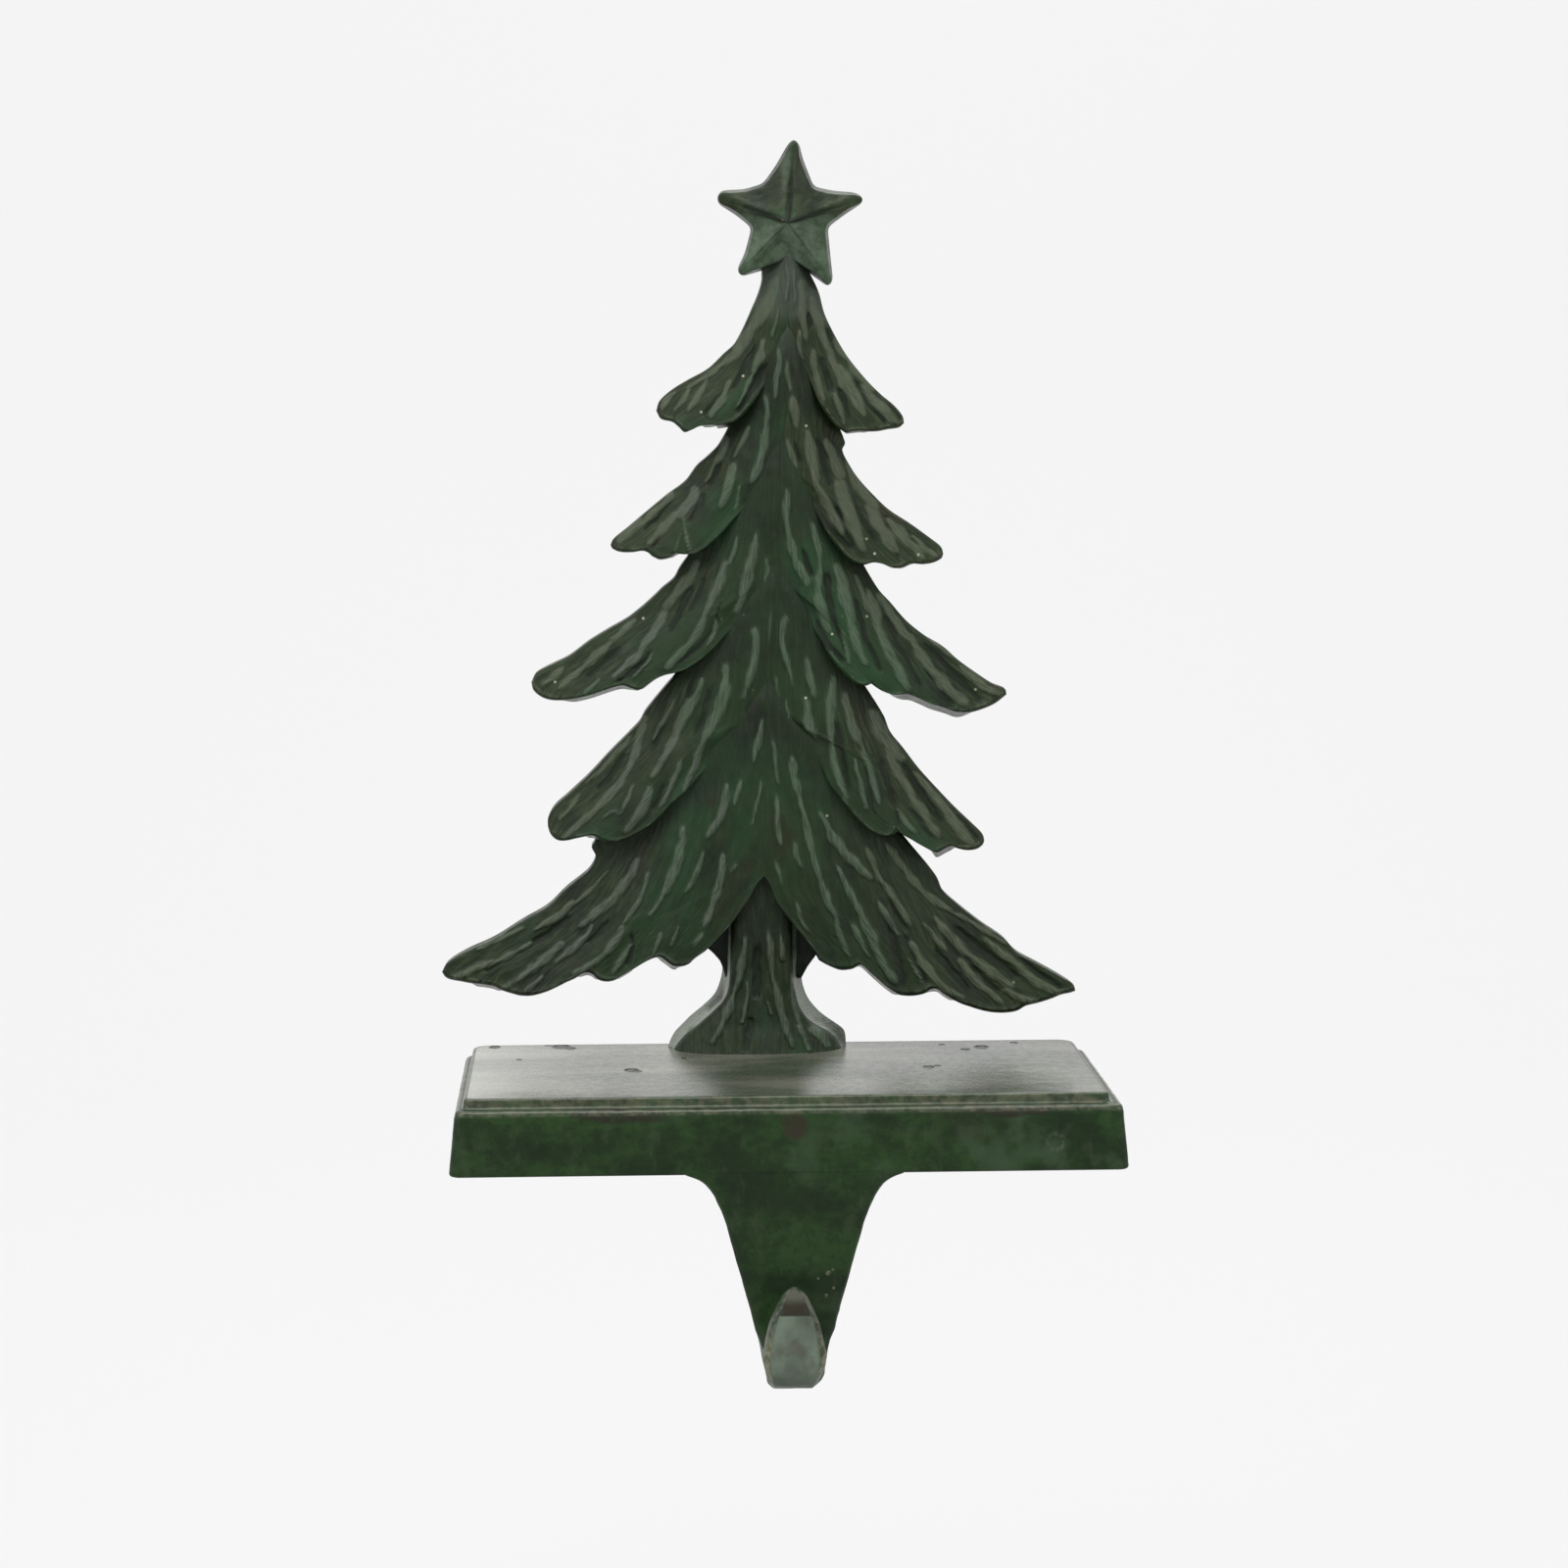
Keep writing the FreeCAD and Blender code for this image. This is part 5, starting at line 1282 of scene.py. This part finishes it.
def base_paint():
    p = Paint("base_paint")
    top, edge, finger = p.masks("paint")
    chamfer, bevel, _ = p.masks("tone")
    x, _, z = p.axes()
    grain = p.noise(500, 5.0, 0.65)
    patches = p.noise(70, 4.0, 0.6, (0.8, 1.0, 1.5))
    lines = p.noise(95, 3.0, 0.55, (0.35, 1.2, 1.0))
    smears = p.noise(52, 3.0, 0.5, (0.25, 1.3, 1.0))

    # Green paint of the apron and the stem, with its stains
    colour = p.blend(p.ramp(patches, 0.38, 0.60), APRON_DARK, APRON_GREEN)
    colour = p.over(colour, APRON_SPECK, p.ramp(p.noise(420, 4.0, 0.7), 0.42, 0.62), 0.45)
    colour = p.over(colour, APRON_WORN,
                    p.ramp(p.noise(300, 4.0, 0.7, (1.0, 1.0, 0.5)), 0.52, 0.70), 0.4)
    colour = p.over(colour, APRON_PALE, p.ramp(p.noise(60, 4.0, 0.6), 0.50, 0.66, 0, 0.75),
                    p.ramp(x, -0.02, 0.06, 0.35, 1.0))
    colour = p.over(colour, BROWN,
                    p.ramp(p.noise(48, 2.0, 0.5, (0.7, 1.0, 1.0)), 0.58, 0.75, 0, 0.6))
    colour = p.over(colour, SMUDGE, p.marks(SMUDGES, (0.5, 0.3, 1.6)),
                    p.ramp(grain, 0.3, 0.6, 0.4, 0.95))
    colour = p.over(colour, WORN_EDGE, p.ramp(edge, 0.3, 1.0, 0, 0.75), p.ramp(grain, 0.36, 0.66))
    colour = p.over(colour, RUST, p.marks(RUST_SPOT), p.ramp(grain, 0.25, 0.6, 0.5, 0.85))
    ring = p.both(p.marks(RING_OUTER), p.math("SUBTRACT", 1.0, p.marks(RING_INNER)))
    colour = p.over(colour, RING, ring, p.ramp(grain, 0.42, 0.58, 0.0, 0.8))

    # Dust and painted sheen on the top, the sheen lightest at the left, and the casting pits in it
    dust_and_sheen = p.blend(p.ramp(smears, 0.40, 0.62), DUST_AND_SHEEN_DULL, DUST_AND_SHEEN)
    colour = p.over(colour, dust_and_sheen, top, p.ramp(x, -0.045, 0.055, 1.0, 0.45),
                    p.ramp(lines, 0.34, 0.60, 0.45, 1.0))
    # Painted reflection, brightest towards the left end of the top
    colour = p.over(colour, DUST_AND_SHEEN_BRIGHT, top, p.ramp(x, -0.035, -0.075, 0.0, 0.8),
                    p.ramp(smears, 0.3, 0.6, 0.6, 1.0))
    pits = p.dots([(x, y, BASE_TOP, radius * 1.7) for x, y, radius in PITS], (0.8, 0.6, 1.0))
    whole = p.math("SUBTRACT", 1.0, pits)
    colour = p.over(colour, PIT, pits, 0.95)

    # Brushed finger, its bevel and its chamfers
    brushed = p.blend(p.ramp(p.noise(110, 3.0, 0.5, (1.0, 1.0, 0.5)), 0.38, 0.62),
                      FINGER_DULL, FINGER_GREEN)
    brushed = p.over(brushed, FINGER_BROWN, p.ramp(p.noise(170, 4.0, 0.6), 0.50, 0.66, 0, 0.6))
    colour = p.over(colour, brushed, finger, p.ramp(grain, 0.2, 0.5, 0.75, 1.0))
    bronzed = p.blend(p.ramp(z, -0.0246, -0.0226), BRONZE_DARK, BRONZE)
    colour = p.over(colour, bronzed, bevel, 0.9)
    cream = p.blend(p.ramp(z, -0.034, -0.029), CREAM, CREAM_DULL)
    colour = p.over(colour, cream, chamfer, p.ramp(grain, 0.36, 0.60, 0.15, 0.9))
    colour = p.over(colour, FLECK, p.marks(FLECKS), p.ramp(grain, 0.40, 0.56, 0.0, 0.8))
    p.link(colour, p.shader.inputs["Base Color"])

    # Gloss: the top and the plate's edges have a clear coat, which the pits break
    flat = p.math("SUBTRACT", p.ramp(grain, 0.3, 0.7, 0.30, 0.46), p.both(top, 0.12))
    p.link(p.math("ADD", flat, p.both(bevel, 0.3)), p.shader.inputs["Roughness"])
    p.shader.inputs["Specular IOR Level"].default_value = 0.15
    coated = p.both(p.math("MAXIMUM", top, edge), whole)
    p.link(p.both(coated, 0.7), p.shader.inputs["Coat Weight"])
    p.shader.inputs["Coat IOR"].default_value = 1.36
    p.shader.inputs["Coat Roughness"].default_value = 0.24
    fine = p.bump(p.both(grain, p.ramp(top, 0.0, 1.0, 1.0, 0.30)), 0.18, 0.0004)
    sunk = p.bump(whole, 1.0, 0.0012, fine)
    worked = p.bump(lines, 0.05, 0.0008, sunk)
    p.link(worked, p.shader.inputs["Normal"])
    p.link(worked, p.shader.inputs["Coat Normal"])
    return p.material


def zinc():
    p = Paint("zinc_steel")
    scratches = p.noise(900, 3.0, 0.6, (1.0, 0.2, 1.0))
    p.link(p.blend(p.ramp(scratches, 0.3, 0.7), ZINC_DULL, ZINC),
           p.shader.inputs["Base Color"])
    p.shader.inputs["Metallic"].default_value = 1.0
    p.link(p.ramp(scratches, 0.3, 0.7, 0.28, 0.45), p.shader.inputs["Roughness"])
    p.link(p.bump(scratches, 0.1, 0.0002), p.shader.inputs["Normal"])
    return p.material


def dress(thing, material):
    thing.data.materials.clear()
    thing.data.materials.append(material)


def dress_node(name, material):
    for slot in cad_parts[name].material_slots:
        slot.material = material


def background_rays(tree):
    """1 for rays that show the background itself, 0 for those that carry light."""
    path = tree.nodes.new("ShaderNodeLightPath")
    seen = path.outputs["Is Camera Ray"]
    for ray in ("Is Glossy Ray", "Is Transmission Ray"):
        either = tree.nodes.new("ShaderNodeMath")
        either.operation = "MAXIMUM"
        tree.links.new(seen, either.inputs[0])
        tree.links.new(path.outputs[ray], either.inputs[1])
        seen = either.outputs[0]
    return seen


def backdrop():
    """Pale floor well below the hook, running up into a plain wall behind."""
    profile = [(-1.6, FLOOR_HEIGHT)]
    for a in np.radians(np.linspace(-90, 0, 13)):
        profile.append((0.75 + BACKDROP_BEND * math.cos(a),
                        FLOOR_HEIGHT + BACKDROP_BEND + BACKDROP_BEND * math.sin(a)))
    profile.append((0.75 + BACKDROP_BEND, 1.8))
    points = []
    for y, z in profile:
        points += [(-BACKDROP_WIDTH / 2, y, z), (BACKDROP_WIDTH / 2, y, z)]
    faces = [(2 * i, 2 * i + 1, 2 * i + 3, 2 * i + 2) for i in range(len(profile) - 1)]
    mesh = bpy.data.meshes.new("backdrop")
    mesh.from_pydata(points, [], faces)
    mesh.update()
    mesh.shade_smooth()
    thing = bpy.data.objects.new("backdrop", mesh)
    bpy.context.collection.objects.link(thing)
    p = Paint("backdrop_white")
    p.shader.inputs["Base Color"].default_value = BACKDROP_GREY
    p.shader.inputs["Roughness"].default_value = 0.9
    p.shader.inputs["Specular IOR Level"].default_value = 0.1
    glow = p.node("ShaderNodeEmission")
    glow.inputs["Color"].default_value = WHITE
    glow.inputs["Strength"].default_value = BACKDROP_GLOW
    mix = p.node("ShaderNodeMixShader")
    p.link(p.both(background_rays(p.tree), BACKDROP_SHARE), mix.inputs[0])
    p.link(p.shader.outputs[0], mix.inputs[1])
    p.link(glow.outputs[0], mix.inputs[2])
    p.link(mix.outputs[0], p.tree.nodes["Material Output"].inputs["Surface"])
    dress(thing, p.material)


def lights():
    aim = Vector((0.0, 0.0, 0.1))
    for name, place, size, power in LAMPS:
        lamp = bpy.data.lights.new(name, "AREA")
        lamp.shape = "RECTANGLE"
        lamp.size, lamp.size_y = size
        lamp.energy = power
        thing = bpy.data.objects.new(name, lamp)
        thing.location = place
        thing.rotation_mode = "QUATERNION"
        thing.rotation_quaternion = (aim - Vector(place)).to_track_quat("-Z", "Y")
        bpy.context.collection.objects.link(thing)
    world = bpy.data.worlds.new("studio")
    world.use_nodes = True
    tree = world.node_tree
    level = tree.nodes.new("ShaderNodeMapRange")
    level.inputs["To Min"].default_value = SKY_LIGHT
    level.inputs["To Max"].default_value = SKY_SEEN
    tree.links.new(background_rays(tree), level.inputs["Value"])
    tree.nodes["Background"].inputs["Color"].default_value = WHITE
    tree.links.new(level.outputs["Result"], tree.nodes["Background"].inputs["Strength"])
    bpy.context.scene.world = world


def camera():
    data = bpy.data.cameras.new("camera")
    data.lens = CAMERA_LENS
    data.sensor_width = 36.0
    data.clip_start = 0.02
    data.clip_end = 20
    thing = bpy.data.objects.new("camera", data)
    bpy.context.collection.objects.link(thing)
    thing.location = [c * MM for c in CAMERA_PLACE]
    thing.rotation_euler = (math.radians(90 - CAMERA_PITCH), 0, math.radians(-CAMERA_YAW))
    bpy.context.scene.camera = thing


camera()
tree = tree_piece()
base = base_piece()
dress(tree, tree_paint())
dress(base, base_paint())
steel = zinc()
for name in ("fixing_screw", "washer"):
    dress_node(name, steel)
backdrop()
lights()
bpy.context.scene.view_settings.view_transform = "Standard"
